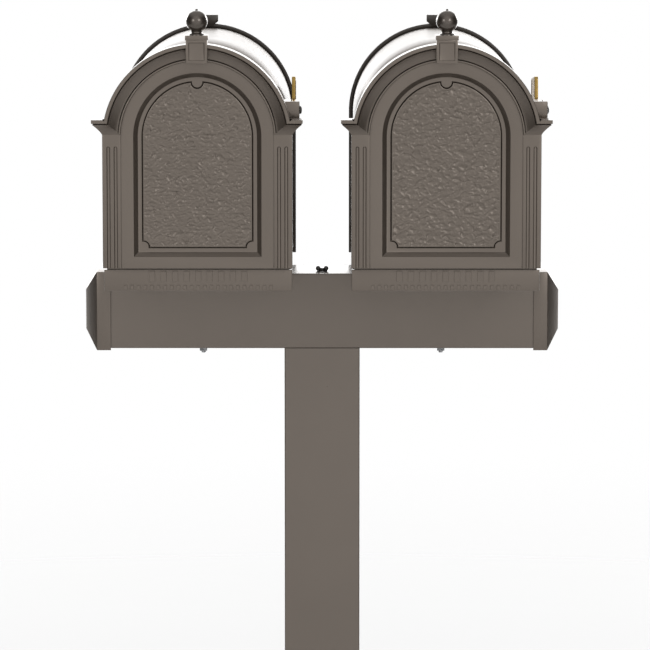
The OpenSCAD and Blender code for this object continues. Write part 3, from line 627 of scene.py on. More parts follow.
# The boss behind the strike plate and the hinge knuckles with their webs
def doorFittings(v):
    bm = bmesh.new()
    low, high = ((corner[2] - armTop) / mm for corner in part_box("left_strike_plate"))
    block(bm, (-v["bossHalf"], low, v["bossIn"] - v["depth"]), (v["bossHalf"], high, v["bury"] - v["skin"]))
    hingeY = v["bottom"] + v["hingeUp"]
    for s in (-1, 1):
        for k in (-1, 1):
            at = s * v["earX"] + k * (v["earT"] / 2 + v["knuckleGap"] + v["knuckleT"] / 2)
            rod(bm, v["knuckleR"], v["knuckleT"], 40,
                shift(at - v["knuckleT"] / 2, hingeY, -v["hingeIn"]) @ alongX)
            web = v["knuckleT"] / 2 - v["webIn"]
            block(bm, (at - web, v["bottom"] + v["webFoot"], -v["hingeIn"]),
                  (at + web, hingeY + v["knuckleR"] - v["webIn"], v["bury"] - v["skin"]))
    roundOff(bm, 0.4, 2)
    return bm


# Pilaster strip with two round-ended flutes sunk into it
def pilaster(v, s):
    inner = v["archR"] - v["mouldW"]
    bm = bmesh.new()
    low = min(s * inner, s * v["half"])
    high = max(s * inner, s * v["half"])
    block(bm, (low, v["bottom"], -v["depth"]), (high, v["capitalTop"] - 2, 0))
    roundOff(bm, v["ease"], 3)
    tool = bmesh.new()
    for x in v["fluteX"]:
        foot = v["bottom"] - v["fluteBelow"]
        outline = [(0, foot), (v["fluteR"], foot)]
        for k in range(v["fluteSteps"] + 1):
            a = math.pi / 2 * k / v["fluteSteps"]
            outline.append((max(v["fluteR"] * math.cos(a), 0),
                            v["fluteTop"] - v["fluteR"] + v["fluteR"] * math.sin(a)))
        turned(tool, outline, 40, shift(s * x, 0, 0) @ Matrix.Rotation(-math.pi / 2, 4, "X"))
    strip = toObject("strip", bm)
    return carve(strip, toObject("flutes", tool))


def keystone(bm, v):
    half, low, high, proud = v["keyHalf"], v["keyBottom"], v["keyTop"], v["keyProud"]
    made = block(bm, (-half, low, -v["skin"]), (half, high - v["keyCap"] + 0.5, proud - v["keyFaceIn"]))
    front = topFace({f for w in made for f in w.link_faces})
    steps(bm, front, [(v["keyBorder"], 0), (0.8, -v["keySunk"])])
    out = half + v["keyCapOut"]
    block(bm, (-out, high - v["keyCap"], -v["skin"]), (out, high, proud))


def joinMeshes(name, parts):
    bm = bmesh.new()
    for part in parts:
        bm.from_mesh(part.data)
        bpy.data.objects.remove(part)
    return toObject(name, bm)


# Cutter for the ears' slots and the hinge pins' bores
def slotTool(v):
    bm = bmesh.new()
    hingeY = v["bottom"] + v["hingeUp"]
    for s in (-1, 1):
        half = v["earT"] / 2 + v["knuckleGap"]
        block(bm, (s * v["earX"] - half, v["bottom"] - 3, -v["depth"] - 3),
              (s * v["earX"] + half, hingeY + v["earR"] + 1, -v["hingeIn"] + v["earR"] + v["earSlack"]))
        reach = half + v["knuckleT"] + v["knuckleGap"]
        rod(bm, v["pinR"] + v["boreSlack"], 2 * reach, 40,
            shift(s * v["earX"] - reach, hingeY, -v["hingeIn"]) @ alongX)
    return toObject("slots", bm)


def buildDoor(side, v):
    tray = carve(toObject("tray", doorCasting(v)), slotTool(v))
    p = panelValues
    carve(tray, panelForm(p, p["flare"], p["floor"] - p["sunk"], p["floor"] + 0.5))
    fittings = carve(toObject("fittings", doorFittings(v)), slotTool(v), tangled=True)
    strips = [carve(pilaster(v, s), slotTool(v)) for s in (-1, 1)]
    trim = bmesh.new()
    archMoulding(trim, v)
    for s in (-1, 1):
        capital(trim, v, s)
    key = bmesh.new()
    keystone(key, v)
    roundOff(key, 0.45, 2)
    parts = [tray, fittings, *strips, toObject("trim", trim), toObject("key", key)]
    door = joinMeshes(side + "_door_casting", parts)
    standUp(door, side, v["front"])
    dress(door, "castCoat", side + "_door", side + "_door")


# Distance from a point of the drawing to the panel's edge, positive inside
def panelInside(x, y, v):
    if y > v["spring"]:
        edge = v["half"] - math.hypot(x, y - v["spring"])
    else:
        edge = min(v["half"] - abs(x), y - v["bottom"])
    corner = math.hypot(abs(x) - v["half"], y - v["bottom"]) - v["scoop"]
    crown = math.hypot(x, y - v["spring"] - v["half"]) - v["scoop"]
    return min(edge, corner, crown)


# Crinkle: ridges of warped noise, drawn out a little across the panel
def crinkle(x, y, seed, v):
    p = Vector((x / (v["lump"] * v["longer"]), y / v["lump"], seed))
    bend = noise.noise_vector(p * 0.9) * (v["warp"] / v["lump"])
    q = p + Vector((bend.x, bend.y, 0))
    ridge = 1 - abs(noise.noise(q * 1.1)) * 2.4
    fine = 1 - abs(noise.noise(q * 2.3 + Vector((7, 3, 1)))) * 2.2
    swell = noise.noise(p * 0.35)
    return 0.62 * ridge + 0.34 * fine + 0.3 * swell - 0.55


# Fine grid lifted by the crinkle, cut to the panel's outline
def buildPanel(side, v):
    top = v["spring"] + v["half"]
    across = int(2 * v["half"] / v["cell"]) + 4
    along = int((top - v["bottom"]) / v["cell"]) + 4
    bm = bmesh.new()
    made = bmesh.ops.create_grid(bm, x_segments=across, y_segments=along, size=0.5)["verts"]
    margin = 2 * v["margin"]
    bmesh.ops.scale(bm, verts=made, vec=(2 * v["half"] + margin, top - v["bottom"] + margin, 1))
    bmesh.ops.translate(bm, verts=made, vec=(0, (top + v["bottom"]) / 2, 0))
    face = v["floor"] + v["thickness"]
    for w in made:
        inside = panelInside(w.co.x, w.co.y, v)
        fade = min(max((inside - v["borderStart"]) / v["border"], 0), 1)
        fade = fade * fade * (3 - 2 * fade)
        edge = min(max(inside / v["rimWidth"], 0), 1)
        bumps = fade * v["relief"] * crinkle(w.co.x, w.co.y, v["seed"][side], v)
        w.co.z = face - v["rimDrop"] * (1 - edge) ** 2 + bumps - v["fieldDrop"] * fade
    rim = [e for e in bm.edges if e.is_boundary]
    wall = bmesh.ops.extrude_edge_only(bm, edges=rim)["geom"]
    for w in only(bmesh.types.BMVert, wall):
        w.co.z = v["floor"] - v["sunk"]
    bmesh.ops.contextual_create(bm, geom=only(bmesh.types.BMEdge, wall))
    faceOutwards(bm)
    sheet = toObject(side + "_panel", bm)
    carve(sheet, panelForm(v, 0, v["floor"] - v["sunk"] - 1, v["floor"] + 8), "INTERSECT")
    standUp(sheet, side, doorValues["front"])
    dress(sheet, "panelCoat", side + "_door", side + "_door_panel", 60)


knobValues = {
    "ball": 14.2, "neck": 8.6, "join": 0.7, "rise": 17.7, "y": -266, "base": 334, "shank": 3, "shankLen": 11,
    "steps": 26, "topAngle": math.pi * 0.965,
    "foot": ((1.6, -0.5), (1.6, 0.9), (1.2, 1.5), (0.1, 1.9), (-1.0, 2.6), (-1.5, 3.6), (-1.3, 4.6),
             (-0.9, 5.2)),
    "tip": ((1.9, 0.2), (1.7, 0.9), (1.0, 1.4), (0, 1.6)),
}


# Ball on a turned foot; the foot's points are beyond the neck, the tip's above the ball
def buildKnob(side, v):
    outline = [(0, v["foot"][0][1])] + [(v["neck"] + r, h) for r, h in v["foot"]]
    start = math.asin((v["neck"] - v["join"]) / v["ball"])
    for k in range(v["steps"] + 1):
        a = start + (v["topAngle"] - start) * k / v["steps"]
        outline.append((v["ball"] * math.sin(a), v["rise"] - v["ball"] * math.cos(a)))
    outline += [(r, v["rise"] + v["ball"] + h) for r, h in v["tip"]]
    bm = bmesh.new()
    turned(bm, outline, 72)
    rod(bm, v["shank"], v["shankLen"], 32, shift(0, 0, -v["shankLen"]))
    # the knob's darker coat is painted shade
    makePiece(side + "_ball_knob", bm, side, "knobCoatPaintedShade", side + "_door", side + "_knob",
              shift(0, v["y"], v["base"]), 40)


shellValues = {"radius": 117.4, "wall": 2, "spring": 195.4, "lip": 14, "bend": 2.5,
               "front": -235, "rear": 253}


# Sheet bent from lip to lip over the arch, drawn along its middle and given its wall by a modifier
def buildShell(side, v):
    bm = bmesh.new()
    base = archLoop(bm, v["radius"] - v["wall"] / 2, v["spring"], v["wall"] / 2, 180)[-1]
    soles = list(base.verts)
    bmesh.ops.delete(bm, geom=[base], context="EDGES_FACES")
    for w in bmesh.ops.extrude_vert_indiv(bm, verts=soles)["verts"]:
        w.co.x -= math.copysign(v["lip"], w.co.x)
    roundCorners(bm, soles, v["bend"], 5)
    drawn = bmesh.ops.extrude_edge_only(bm, edges=bm.edges[:])["geom"]
    bmesh.ops.translate(bm, verts=only(bmesh.types.BMVert, drawn), vec=(0, 0, v["front"] - v["rear"]))
    bmesh.ops.translate(bm, verts=bm.verts[:], vec=(0, 0, -v["front"]))
    bmesh.ops.recalc_face_normals(bm, faces=bm.faces[:])
    if max(bm.faces, key=lambda f: f.calc_center_median().y).normal.y < 0:
        bmesh.ops.reverse_faces(bm, faces=bm.faces[:])
    shell = makePiece(side + "_arched_shell", bm, side, "sheetCoat", "stand", side + "_shell", frontTurn)
    wall = shell.modifiers.new("wall", "SOLIDIFY")
    wall.thickness = v["wall"] * mm
    wall.offset = 0
    wall.use_even_offset = True


rearValues = {
    "proud": 5.8, "len": 10, "plate": 6, "rear": 259, "slip": 0.15, "ease": 0.9, "keyHalf": 14, "keyFoot": 4,
    "keyRise": 18, "keyPast": 4, "border": 9, "flangeR": 115.25, "flangeT": 5, "flangeFoot": 8,
    "flangeLen": 13, "flangeEase": 0.4,
}


# Square-edged ring between two arch outlines of (half width, foot), from one height to another
def archRing(outer, inner, near, far, ease):
    spring = shellValues["spring"]
    outside, inside = (outer[0], spring, outer[1]), (inner[0], spring, inner[1])
    bm = bmesh.new()
    end = archSkin(bm, [(*inside, near), (*outside, near), (*outside, far), (*inside, far), (*inside, near)])
    bmesh.ops.delete(bm, geom=[end], context="FACES_ONLY")
    bmesh.ops.remove_doubles(bm, verts=bm.verts[:], dist=0.02)
    faceOutwards(bm)
    roundOff(bm, ease)
    return toObject("ring", bm)


# Drawn with z = 0 at the rim's front face and the plate behind it
def buildRearCover(side, v):
    shell = shellValues
    bm = bmesh.new()
    outline = loopFace(bm, archLoop(bm, shell["radius"] + v["proud"], shell["spring"], -v["proud"], 180))
    pushBack(bm, outline, -v["len"])
    front, back = topFace(bm.faces), lowFace(bm.faces)
    steps(bm, front, [(v["proud"] - v["slip"], 0), (0.002, v["plate"] - v["len"])])
    steps(bm, back, [(v["border"], 0), (1.4, 1.6), (3.0, 0), (1.2, -0.8)])  # sunk border line, raised middle
    roundOff(bm, v["ease"], 3)
    key = bmesh.new()
    half, rise, crown = v["keyHalf"], v["keyRise"], shell["spring"] + shell["radius"]
    corners = ((-v["keyFoot"], 1), (v["keyFoot"], 1), (half, rise / 2), (half, rise),
               (-half, rise), (-half, rise / 2))
    wedge = outlineFace(key, [(x, y + crown) for x, y in corners], 2)
    pushBack(key, wedge, -(v["len"] + v["keyPast"]))
    steps(key, lowFace(key.faces), [(2.6, 0), (0.6, 0.9)])
    roundOff(key, 0.5)
    foot, inside = shell["wall"] + v["slip"], v["plate"] - v["len"]
    flange = archRing((v["flangeR"], foot), (v["flangeR"] - v["flangeT"], foot + v["flangeFoot"]),
                      inside - 0.5, inside + v["flangeLen"], v["flangeEase"])
    cover = joinMeshes(side + "_rear_casting", [toObject("plate", bm), toObject("wedge", key), flange])
    standUp(cover, side, v["rear"] - v["len"])
    # the rear casting's darker coat is painted shade
    dress(cover, "rearCoatPaintedShade", "stand", side + "_rear_cover")


# rows of blocks are count, pitch, width, foot and height
frameValues = {
    "radius": 118.5, "thickness": 7, "front": -242, "openHalf": 104, "openBottom": 33, "sillHalf": 122,
    "sillH": 27.9, "groove": 4, "spigot": 9, "spigotR": 115.25, "lap": 2, "bury": 0.5,
    "upper": (9, 15, 8, 12, 14.5), "lower": (23, 8.6, 4.6, 2, 6), "proud": 1.2, "blockEase": 0.9,
}


# Row of small raised blocks, each with a smaller front face
def blockRow(bm, row, v):
    count, pitch, width, low, height = row
    for k in range(count):
        x = (k - (count - 1) / 2) * pitch
        made = block(bm, (x - width / 2, low, -1), (x + width / 2, low + height, v["proud"]))
        front = topFace({f for w in made for f in w.link_faces})
        shrink = (1 - v["blockEase"] / width, 1 - v["blockEase"] / height, 1)
        bmesh.ops.scale(bm, verts=front.verts, vec=shrink, space=shift(-x, -(low + height / 2), 0))


# The two ears that hold the hinge pins, from the frame's face forward to the pin
def earBlocks(bm, v, d):
    hingeY = d["bottom"] + d["hingeUp"]
    away = v["front"] - d["front"] - d["hingeIn"]
    for s in (-1, 1):
        x = s * d["earX"] - d["earT"] / 2
        rod(bm, d["earR"], d["earT"], 48, shift(x, hingeY, away) @ alongX)
        block(bm, (x, hingeY - d["earR"], -1), (x + d["earT"], hingeY + d["earR"], away))


def buildFrame(side, v):
    opening = (v["openHalf"], v["openBottom"])
    wide = v["radius"] + v["lap"]
    groove = bmesh.new()
    block(groove, (-wide, v["sillH"], -v["groove"]), (wide, v["openBottom"], v["lap"]))
    face = carve(archRing((v["radius"], 0), opening, 0, -v["thickness"], 0.5), toObject("groove", groove))
    spigot = archRing((v["spigotR"], v["openBottom"] - v["lap"]), opening, v["bury"] - v["thickness"],
                      -v["thickness"] - v["spigot"], 0.4)
    sill = bmesh.new()
    block(sill, (-v["sillHalf"], 0, -v["thickness"]), (v["sillHalf"], v["sillH"], 0.02))
    roundOff(sill, 0.8, 3)
    blockRow(sill, v["upper"], v)
    blockRow(sill, v["lower"], v)
    ears = bmesh.new()
    earBlocks(ears, v, doorValues)
    roundOff(ears, 0.3)
    parts = [face, spigot, toObject("sill", sill), toObject("ears", ears)]
    piece = joinMeshes(side + "_front_casting", parts)
    standUp(piece, side, v["front"])
    dress(piece, "castCoat", "stand", side + "_front_frame")


flagValues = {
    "y": -213, "z": 233.5, "x": 123.1, "thickness": 5, "thin": 0.03, "hub": 8, "arm": 6, "start": 111,
    "end": 196, "up": 35.5, "down": 21, "slope": 9, "tuck": 6, "corner": 3.0, "border": 2.0, "sunk": 0.7,
    "pinR": 3, "boreSlack": 0.05, "slot": 0.6, "cheek": 5.4, "half": 20, "wall": 4, "low": 13.5, "high": 12.5,
    "deep": 16, "past": 5,
    "boltHead": ((5.0, 0), (5.4, 0.4), (5.4, 0.9), (5.1, 1.6), (4.3, 2.3), (3.0, 2.8), (1.4, 3.0), (0, 3.0)),
}
sideTurn = Matrix.Rotation(math.pi / 2, 4, "Z") @ frontTurn  # x, y, z become y, z, x


# The flag, drawn in its own plane with the pivot at the origin
def buildFlag(side, v):
    bm = bmesh.new()
    ring = bmesh.ops.create_circle(bm, cap_ends=True, radius=v["hub"], segments=48)["verts"]
    pushBack(bm, ring[0].link_faces[0], -v["thickness"])
    roundOff(bm, 0.7, 3)
    blade = bmesh.new()
    neck, tuck, tip = v["start"] - v["tuck"], v["tuck"], v["end"]
    outlineFace(blade, ((2, -v["arm"]), (neck, -v["arm"]), (v["start"], -v["down"]), (tip - tuck, -v["down"]),
                        (tip, tuck - v["down"]), (tip, v["up"] - v["slope"]), (v["start"], v["up"]),
                        (neck, v["arm"]), (2, v["arm"])), -v["thin"])
    roundCorners(blade, [w for w in blade.verts if w.co.x > v["hub"]], v["corner"], 6)
    pushBack(blade, blade.faces[:][0], 2 * v["thin"] - v["thickness"])
    for plate in sorted(blade.faces, key=lambda f: f.calc_area())[-2:]:
        sign = 1 if plate.normal.z > 0 else -1
        steps(blade, plate, [(v["border"], 0), (v["sunk"], -v["sunk"] * sign)])
    roundOff(blade, 0.6, 3, math.radians(30))
    flag = carve(toObject(side + "_signal_flag", bm), toObject("blade", blade), "UNION")
    bore = bmesh.new()
    rod(bore, v["pinR"] + v["boreSlack"], 20, 40, shift(0, 0, -10))
    carve(flag, toObject("bore", bore))
    flag.data.transform(toMetres(side) @ shift(v["x"] + v["thickness"] / 2, v["y"], v["z"]) @ sideTurn)
    dress(flag, "polishedBrass", side + "_flag", side + "_flag")


# Outer face of the bracket's cheek
def cheekOut(v):
    return v["x"] + v["thickness"] / 2 + v["slot"] + v["cheek"]


def buildBracket(side, v):
    shell = shellValues
    slotIn = v["x"] - v["thickness"] / 2 - v["slot"]
    bm = bmesh.new()
    block(bm, (shell["radius"] - v["deep"], v["y"] - v["half"], v["z"] - v["low"]),
          (cheekOut(v), v["y"] + v["half"], v["z"] + v["high"]))
    roundOff(bm, 1.2, 3)
    piece = toObject(side + "_flag_clevis", bm)
    tool = bmesh.new()
    block(tool, (slotIn, v["y"] - v["half"] + v["wall"], v["z"] - v["hub"] - 1),
          (slotIn + v["thickness"] + 2 * v["slot"], v["y"] + v["half"] + v["past"],
           v["z"] + v["high"] + v["past"]))
    carve(piece, toObject("slot", tool))
    body = bmesh.new()
    rod(body, shell["radius"], 2 * v["half"] + 20, 180,
        shift(0, v["y"] + v["half"] + 10, shell["spring"]) @ frontTurn)
    carve(piece, toObject("round", body))
    piece.data.transform(toMetres(side))
    dress(piece, "castCoat", "stand", side + "_flag_bracket")


def buildFlagBolt(side, v):
    bm = bmesh.new()
    end = shellValues["radius"] - 1 - cheekOut(v)
    turned(bm, [(0, end), (v["pinR"], end), (v["pinR"], 0), *v["boltHead"]], 48)
    makePiece(side + "_pivot_bolt", bm, side, "darkCoat", "stand", side + "_flag_bolt",
              shift(cheekOut(v), v["y"], v["z"]) @ alongX, 40)


tubeValues = {"width": 101.6, "wall": 3.2, "corner": 2.0, "cornerSteps": 6}


# Square tube from a rounded outline, drawn along z from 0
def squareTube(v, length):
    bm = bmesh.new()
    face = roundedSquare(bm, v["width"], v["corner"], v["cornerSteps"])
    face.normal_update()
    if face.normal.z < 0:
        face.normal_flip()
    bmesh.ops.inset_region(bm, faces=[face], thickness=v["wall"], use_even_offset=True, use_boundary=True)
    bmesh.ops.delete(bm, geom=[face], context="FACES")
    drawn = bmesh.ops.extrude_face_region(bm, geom=bm.faces[:])["geom"]
    bmesh.ops.translate(bm, verts=only(bmesh.types.BMVert, drawn), vec=(0, 0, length))
    faceOutwards(bm)
    return bm


def buildTubes(v):
    low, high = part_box("post")
    makePiece("post_tube", squareTube(v, (high[2] - low[2]) / mm), None, "tubeCoat", "stand", "post",
              shift(0, 0, (low[2] - armTop) / mm))
    low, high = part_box("crossarm")
    makePiece("crossarm_tube", squareTube(v, (high[0] - low[0]) / mm), None, "tubeCoat", "stand", "crossarm",
              shift(low[0] / mm, 0, -v["width"] / 2) @ alongX)


capValues = {"collar": 19, "proud": 2.4, "wall": 2.5, "rise": 15.9, "flat": 53.5, "slip": 0.15, "ease": 0.7}


# Cap drawn with the tube's end at z = 0 and the pyramid upwards
def buildCap(side, v):
    half = tubeValues["width"] / 2 + v["proud"]
    bm = bmesh.new()
    block(bm, (-half, -half, v["wall"] - v["collar"]), (half, half, v["wall"]))
    top, low = topFace(bm.faces), lowFace(bm.faces)
    steps(bm, top, [(half - v["flat"] / 2, v["rise"])])
    steps(bm, low, [(v["proud"] - v["slip"], 0), (0.002, v["collar"] - v["wall"])])
    roundOff(bm, v["ease"], 3, math.radians(25))
    right = side == "right"
    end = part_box("crossarm")[right][0] / mm
    turn = Matrix.Rotation(math.pi / 2 if right else -math.pi / 2, 4, "Y")
    makePiece(side + "_pyramid_cap", bm, None, "castCoat", "stand", side + "_end_cap",
              shift(end, 0, -tubeValues["width"] / 2) @ turn, 20)


plateValues = {"width": 254, "thickness": 10, "corner": 8, "cornerSteps": 8, "ease": 0.9, "hole": 7,
               "gap": 200, "stub": 90, "slip": 0.15, "stubWall": 5}


# Ground plate with its four holes and the hollow stub that the post stands on
def buildPlate(v):
    bm = bmesh.new()
    pushBack(bm, roundedSquare(bm, v["width"], v["corner"], v["cornerSteps"]), v["thickness"])
    roundOff(bm, v["ease"], 3)
    holes = bmesh.new()
    for x in (-v["gap"] / 2, v["gap"] / 2):
        for y in (-v["gap"] / 2, v["gap"] / 2):
            rod(holes, v["hole"], v["thickness"] + 4, 48, shift(x, y, -2))
    plate = carve(toObject("plate", bm), toObject("holes", holes))
    half = tubeValues["width"] / 2 - tubeValues["wall"] - v["slip"]
    stub = bmesh.new()
    block(stub, (-half, -half, v["thickness"] - 1), (half, half, v["thickness"] + v["stub"]))
    steps(stub, topFace(stub.faces), [(v["stubWall"], 0), (0.002, 1 - v["stub"])])
    piece = joinMeshes("ground_plate_welded", [plate, toObject("stub", stub)])
    piece.data.transform(Matrix.Scale(mm, 4))
    dress(piece, "castCoat", "stand", "ground_plate")


stages = (
    ("doors", buildDoor, doorValues), ("door panels", buildPanel, panelValues),
    ("knobs", buildKnob, knobValues), ("shells", buildShell, shellValues),
    ("rear covers", buildRearCover, rearValues), ("front frames", buildFrame, frameValues),
)
for stage, build, values in stages:
    for side in sides:
        build(side, values)
    print(stage, "built")

for side in sides:
    buildFlag(side, flagValues)
    buildBracket(side, flagValues)
    buildFlagBolt(side, flagValues)
print("flags built")

buildTubes(tubeValues)
for side in sides:
    buildCap(side, capValues)
buildPlate(plateValues)
print("stand built")

# head is the outline from the shank to the crown, as (radius, height)
screwValues = {
    "shank": 2.0, "tip": 1.2, "headH": 2.6, "recess": 2.4, "blade": 0.9, "deep": 1.5, "turn": 0.4,
    "head": ((3.8, 0), (4.0, 0.25), (3.95, 0.9), (3.6, 1.6), (2.8, 2.15), (1.6, 2.5), (0, 2.6)),
}
# nut, washer, carriage bolt and wing nut; a bolt's head is (in from its rim, above its seat)
fastenerValues = {
    "shank": 3.1, "washerBore": 3.2, "washerEdge": 0.25, "nutChamfer": 0.7, "nutFace": 0.9, "nutOut": 0.3,
    "pitch": 1.25, "turns": 16, "threadDeep": 0.35, "threadFrom": 0.5, "tip": 0.6, "headH": 3.8,
    "head": ((0, 0), (0.2, 0.9), (1.0, 2.0), (2.6, 3.0), (4.8, 3.6)),
}


# Maker of pan head screws with a cross recess along an axis; the head is away from the given centre
def screwAt(axis, centre, v=screwValues):
    def make(low, high):
        length = high[axis] - low[axis] - v["headH"]
        bm = bmesh.new()
        turned(bm, [(0, -length), (v["shank"] * 0.5, -length), (v["shank"], v["tip"] - length),
                    (v["shank"], 0), *v["head"]], 28)
        tool = bmesh.new()
        for turn in (v["turn"], v["turn"] + math.pi / 2):
            made = block(tool, (-v["recess"], -v["blade"] / 2, v["headH"] - v["deep"]),
                         (v["recess"], v["blade"] / 2, v["headH"] + 2))
            bmesh.ops.rotate(tool, verts=made, cent=(0, 0, 0), matrix=Matrix.Rotation(turn, 3, "Z"))
        part = carve(toObject("screw", bm), toObject("cross", tool), tangled=True)
        spot, up = (low + high) / 2, Vector((0, 0, 0))
        up[axis] = 1 if spot[axis] >= centre / mm else -1
        spot[axis] = (high if up[axis] > 0 else low)[axis] - up[axis] * v["headH"]
        part.data.transform(Matrix.Translation(spot) @ up.to_track_quat("Z", "Y").to_matrix().to_4x4())
        return part
    return make


# Puts what is drawn upright from z = 0 into the place of a solid
def seat(name, bm, low, high):
    return toObject(name, bm, shift((low.x + high.x) / 2, (low.y + high.y) / 2, low.z))


def nutAt(low, high, v=fastenerValues):
    radius, height, chamfer = (high.x - low.x) / 2, high.z - low.z, v["nutChamfer"]
    face, out = radius * v["nutFace"], radius + v["nutOut"]
    bm = bmesh.new()
    rod(bm, radius, height, 6)
    cone = bmesh.new()
    turned(cone, [(0, -0.01), (face, -0.01), (out, chamfer), (out, height - chamfer),
                  (face, height + 0.01), (0, height + 0.01)], 48)
    hole = bmesh.new()
    rod(hole, v["shank"], height + 4, 32, shift(0, 0, -2))
    nut = carve(toObject("nut", bm), toObject("cone", cone), "INTERSECT")
    carve(nut, toObject("hole", hole))
    nut.data.transform(shift((low.x + high.x) / 2, (low.y + high.y) / 2, low.z))
    return nut


def washerAt(low, high, v=fastenerValues):
    radius, height, edge, bore = (high.x - low.x) / 2, high.z - low.z, v["washerEdge"], v["washerBore"]
    bm = bmesh.new()
    turned(bm, [(bore, 0), (radius - edge, 0), (radius, edge), (radius, height - edge),
                (radius - edge, height), (bore, height), (bore, 0)], 40)
    return seat("washer", bm, low, high)


# Carriage bolt: domed head, shank with thread turns at its end
def carriageAt(low, high, v=fastenerValues):
    total, radius, shank = high.z - low.z, (high.x - low.x) / 2, v["shank"]
    collar, start = total - v["headH"], v["threadFrom"]
    outline = [(0, 0), (shank - v["tip"], 0)]
    for k in range(v["turns"]):
        outline += [(shank - v["threadDeep"], start + k * v["pitch"]),
                    (shank, start + (k + 0.5) * v["pitch"])]
    outline += [(shank, start + v["turns"] * v["pitch"]), (shank, collar)]
    outline += [(radius - r, collar + h) for r, h in v["head"]] + [(0, total)]
    bm = bmesh.new()
    turned(bm, outline, 32)
    return seat("bolt", bm, low, high)


# One drawn fastener in the place of each solid of a node, joined as one piece
def buildSet(node, makeAt, finish, body="stand"):
    piece = joinMeshes(node + "_set", [makeAt(low / mm, high / mm) for low, high in solidsOf(node)])
    piece.data.transform(Matrix.Scale(mm, 4))
    dress(piece, finish, body, node, 40)


far = 10  # metres: a centre this far off turns all the heads of a node the same way
buildSet("cap_screws", screwAt(2, far), "darkCoat")
buildSet("ground_screws", screwAt(1, -far), "darkCoat")
buildSet("insert_screws", screwAt(1, -far), "darkCoat")
for side in sides:
    buildSet(side + "_shell_screws", screwAt(0, boxCentre[side]), "darkCoat")
    buildSet(side + "_rear_screws", screwAt(2, far), "darkCoat")
    buildSet(side + "_bracket_screws", screwAt(0, far), "zincPlate")
    buildSet(side + "_panel_screws", screwAt(1, -far), "zincPlate", side + "_door")
    buildSet(side + "_saddle_nuts", nutAt, "zincPlate")
    buildSet(side + "_saddle_washers", washerAt, "zincPlate")
    buildSet(side + "_saddle_bolts", carriageAt, "zincPlate")
print("fasteners built")

wingValues = {"bore": 3.1, "hub": 4.8, "hubH": 3.4, "wing": 3.2, "wingX": 5.4, "wingT": 2.8, "washer": 0.9}


def buildWingNut(v):
    bm = bmesh.new()
    turned(bm, [(v["bore"], 0), (v["hub"] - 0.3, 0), (v["hub"], 0.3), (v["hub"] - 0.5, v["hubH"] - 0.4),
                (v["hub"] - 1.0, v["hubH"]), (v["bore"], v["hubH"]), (v["bore"], 0)], 40,
           shift(0, 0, v["washer"]))
    for s in (-1, 1):
        rod(bm, v["wing"], v["wingT"], 40,
            shift(s * v["wingX"], v["wingT"] / 2, v["washer"] + v["wing"]) @ frontTurn)
    roundOff(bm, 0.6, 3, math.radians(50))
    low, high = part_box("clamp_rod")
    makePiece("wing_nut_cast", bm, None, "darkCoat", "stand", "wing_nut",
              shift(0, (low[1] + high[1]) / 2 / mm, 0), 40)


buildWingNut(wingValues)
print("wing nut built")

# CAD pieces that keep their shape and get a finish
kept = {
    "post_insert": "galvanisedSheet", "clamp_rod": "zincPlate", "rod_washer": "zincPlate",
    "floor_pan": "millSheet", "saddle": "galvanisedSheet", "door_seal": "foamRubber",
    "magnet": "magnetCase", "hinge_pins": "zincPlate", "strike_plate": "galvanisedSheet",
    "flag_washer": "zincPlate",
}


def coatNode(name, material):
    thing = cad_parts[name]
    if not thing.material_slots:
        raise ValueError(name + " has no material slot")
    for place in thing.material_slots:
        place.material = material


for name, finish in kept.items():
    for node in ([name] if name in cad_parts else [s + "_" + name for s in sides]):
        coatNode(node, paint[finish])
print("kept pieces coated")

stageValues = {"floorHalf": 6, "floorShade": 0.74, "floorRough": 0.9, "fadeFrom": 1.0, "fadeTo": 5.0}
# brightness of the studio: its dark sides, the white wall behind, the soft wall in front, the ceiling
studioValues = {"sides": 0.03, "back": 2.6, "front": 1.0, "top": 0.8, "toRight": 0.2}


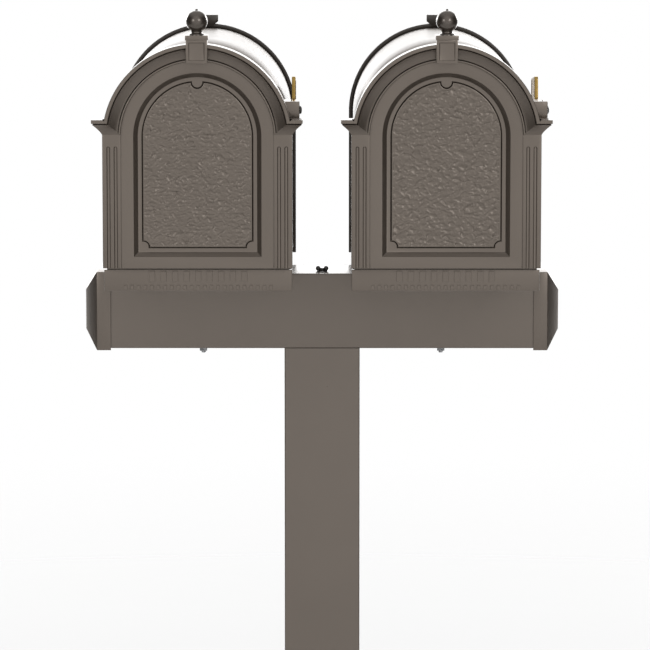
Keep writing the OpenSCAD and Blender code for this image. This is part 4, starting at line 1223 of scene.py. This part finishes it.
def makeFloor(v):
    bm = bmesh.new()
    bmesh.ops.create_grid(bm, x_segments=1, y_segments=1, size=v["floorHalf"])
    mesh = bpy.data.meshes.new("studioFloor")
    bm.to_mesh(mesh)
    bm.free()
    floor = bpy.data.objects.new("studioFloor", mesh)
    scene.collection.objects.link(floor)
    g = newMaterial("paleFloor")
    away = g.add("ShaderNodeVectorMath", {"operation": "LENGTH"}, {0: g.coords()}, 1)
    mesh.materials.append(g.finish({"Base Color": (*[v["floorShade"]] * 3, 1), "Roughness": v["floorRough"],
                                    "Alpha": 1 - g.rise(away, v["fadeFrom"], v["fadeTo"])}))


def makeStudio(v):
    g = Graph(bpy.data.worlds.new("softStudio"), "ShaderNodeBackground", "ShaderNodeOutputWorld")
    way = g.add("ShaderNodeTexCoord", {}, {}, "Generated")
    x, y, z = (g.add("ShaderNodeSeparateXYZ", {}, {0: way}, k) for k in range(3))
    front = g.rise(0 - y, 0.35, 0.95) * v["front"] * (x * v["toRight"] + 1)
    glow = g.rise(y, 0.55, 0.85) * v["back"] + front + g.rise(z, 0.4, 0.95) * v["top"] + v["sides"]
    seen = g.add("ShaderNodeLightPath", {}, {}, "Is Camera Ray")
    scene.world = g.finish({"Color": (1, 1, 1, 1), "Strength": seen + (1 - seen) * glow})
    scene.view_settings.view_transform = "Standard"


# square soft lights: place, height aimed at on the z axis, width and power
lampValues = {
    "keySoftbox": ((2.2, -4.4, 2.8), 1.2, 1.5, 26), "fillSoftbox": ((-2.6, -4.0, 2.4), 1.2, 1.4, 20),
    "leftRearSoftbox": ((-3.2, 3.8, 2.4), 1.0, 1.6, 60), "rightRearSoftbox": ((3.2, 3.8, 2.4), 1.0, 1.6, 60),
}


def softLight(name, place, aim, width, power):
    data = bpy.data.lights.new(name, "AREA")
    data.shape = "SQUARE"
    data.size = width
    data.energy = power
    lamp = bpy.data.objects.new(name, data)
    lamp.location = place
    lamp.rotation_euler = (Vector((0, 0, aim)) - Vector(place)).to_track_quat("-Z", "Y").to_euler()
    scene.collection.objects.link(lamp)


makeFloor(stageValues)
makeStudio(studioValues)
for name, values in lampValues.items():
    softLight(name, *values)
print("stage and light ready")
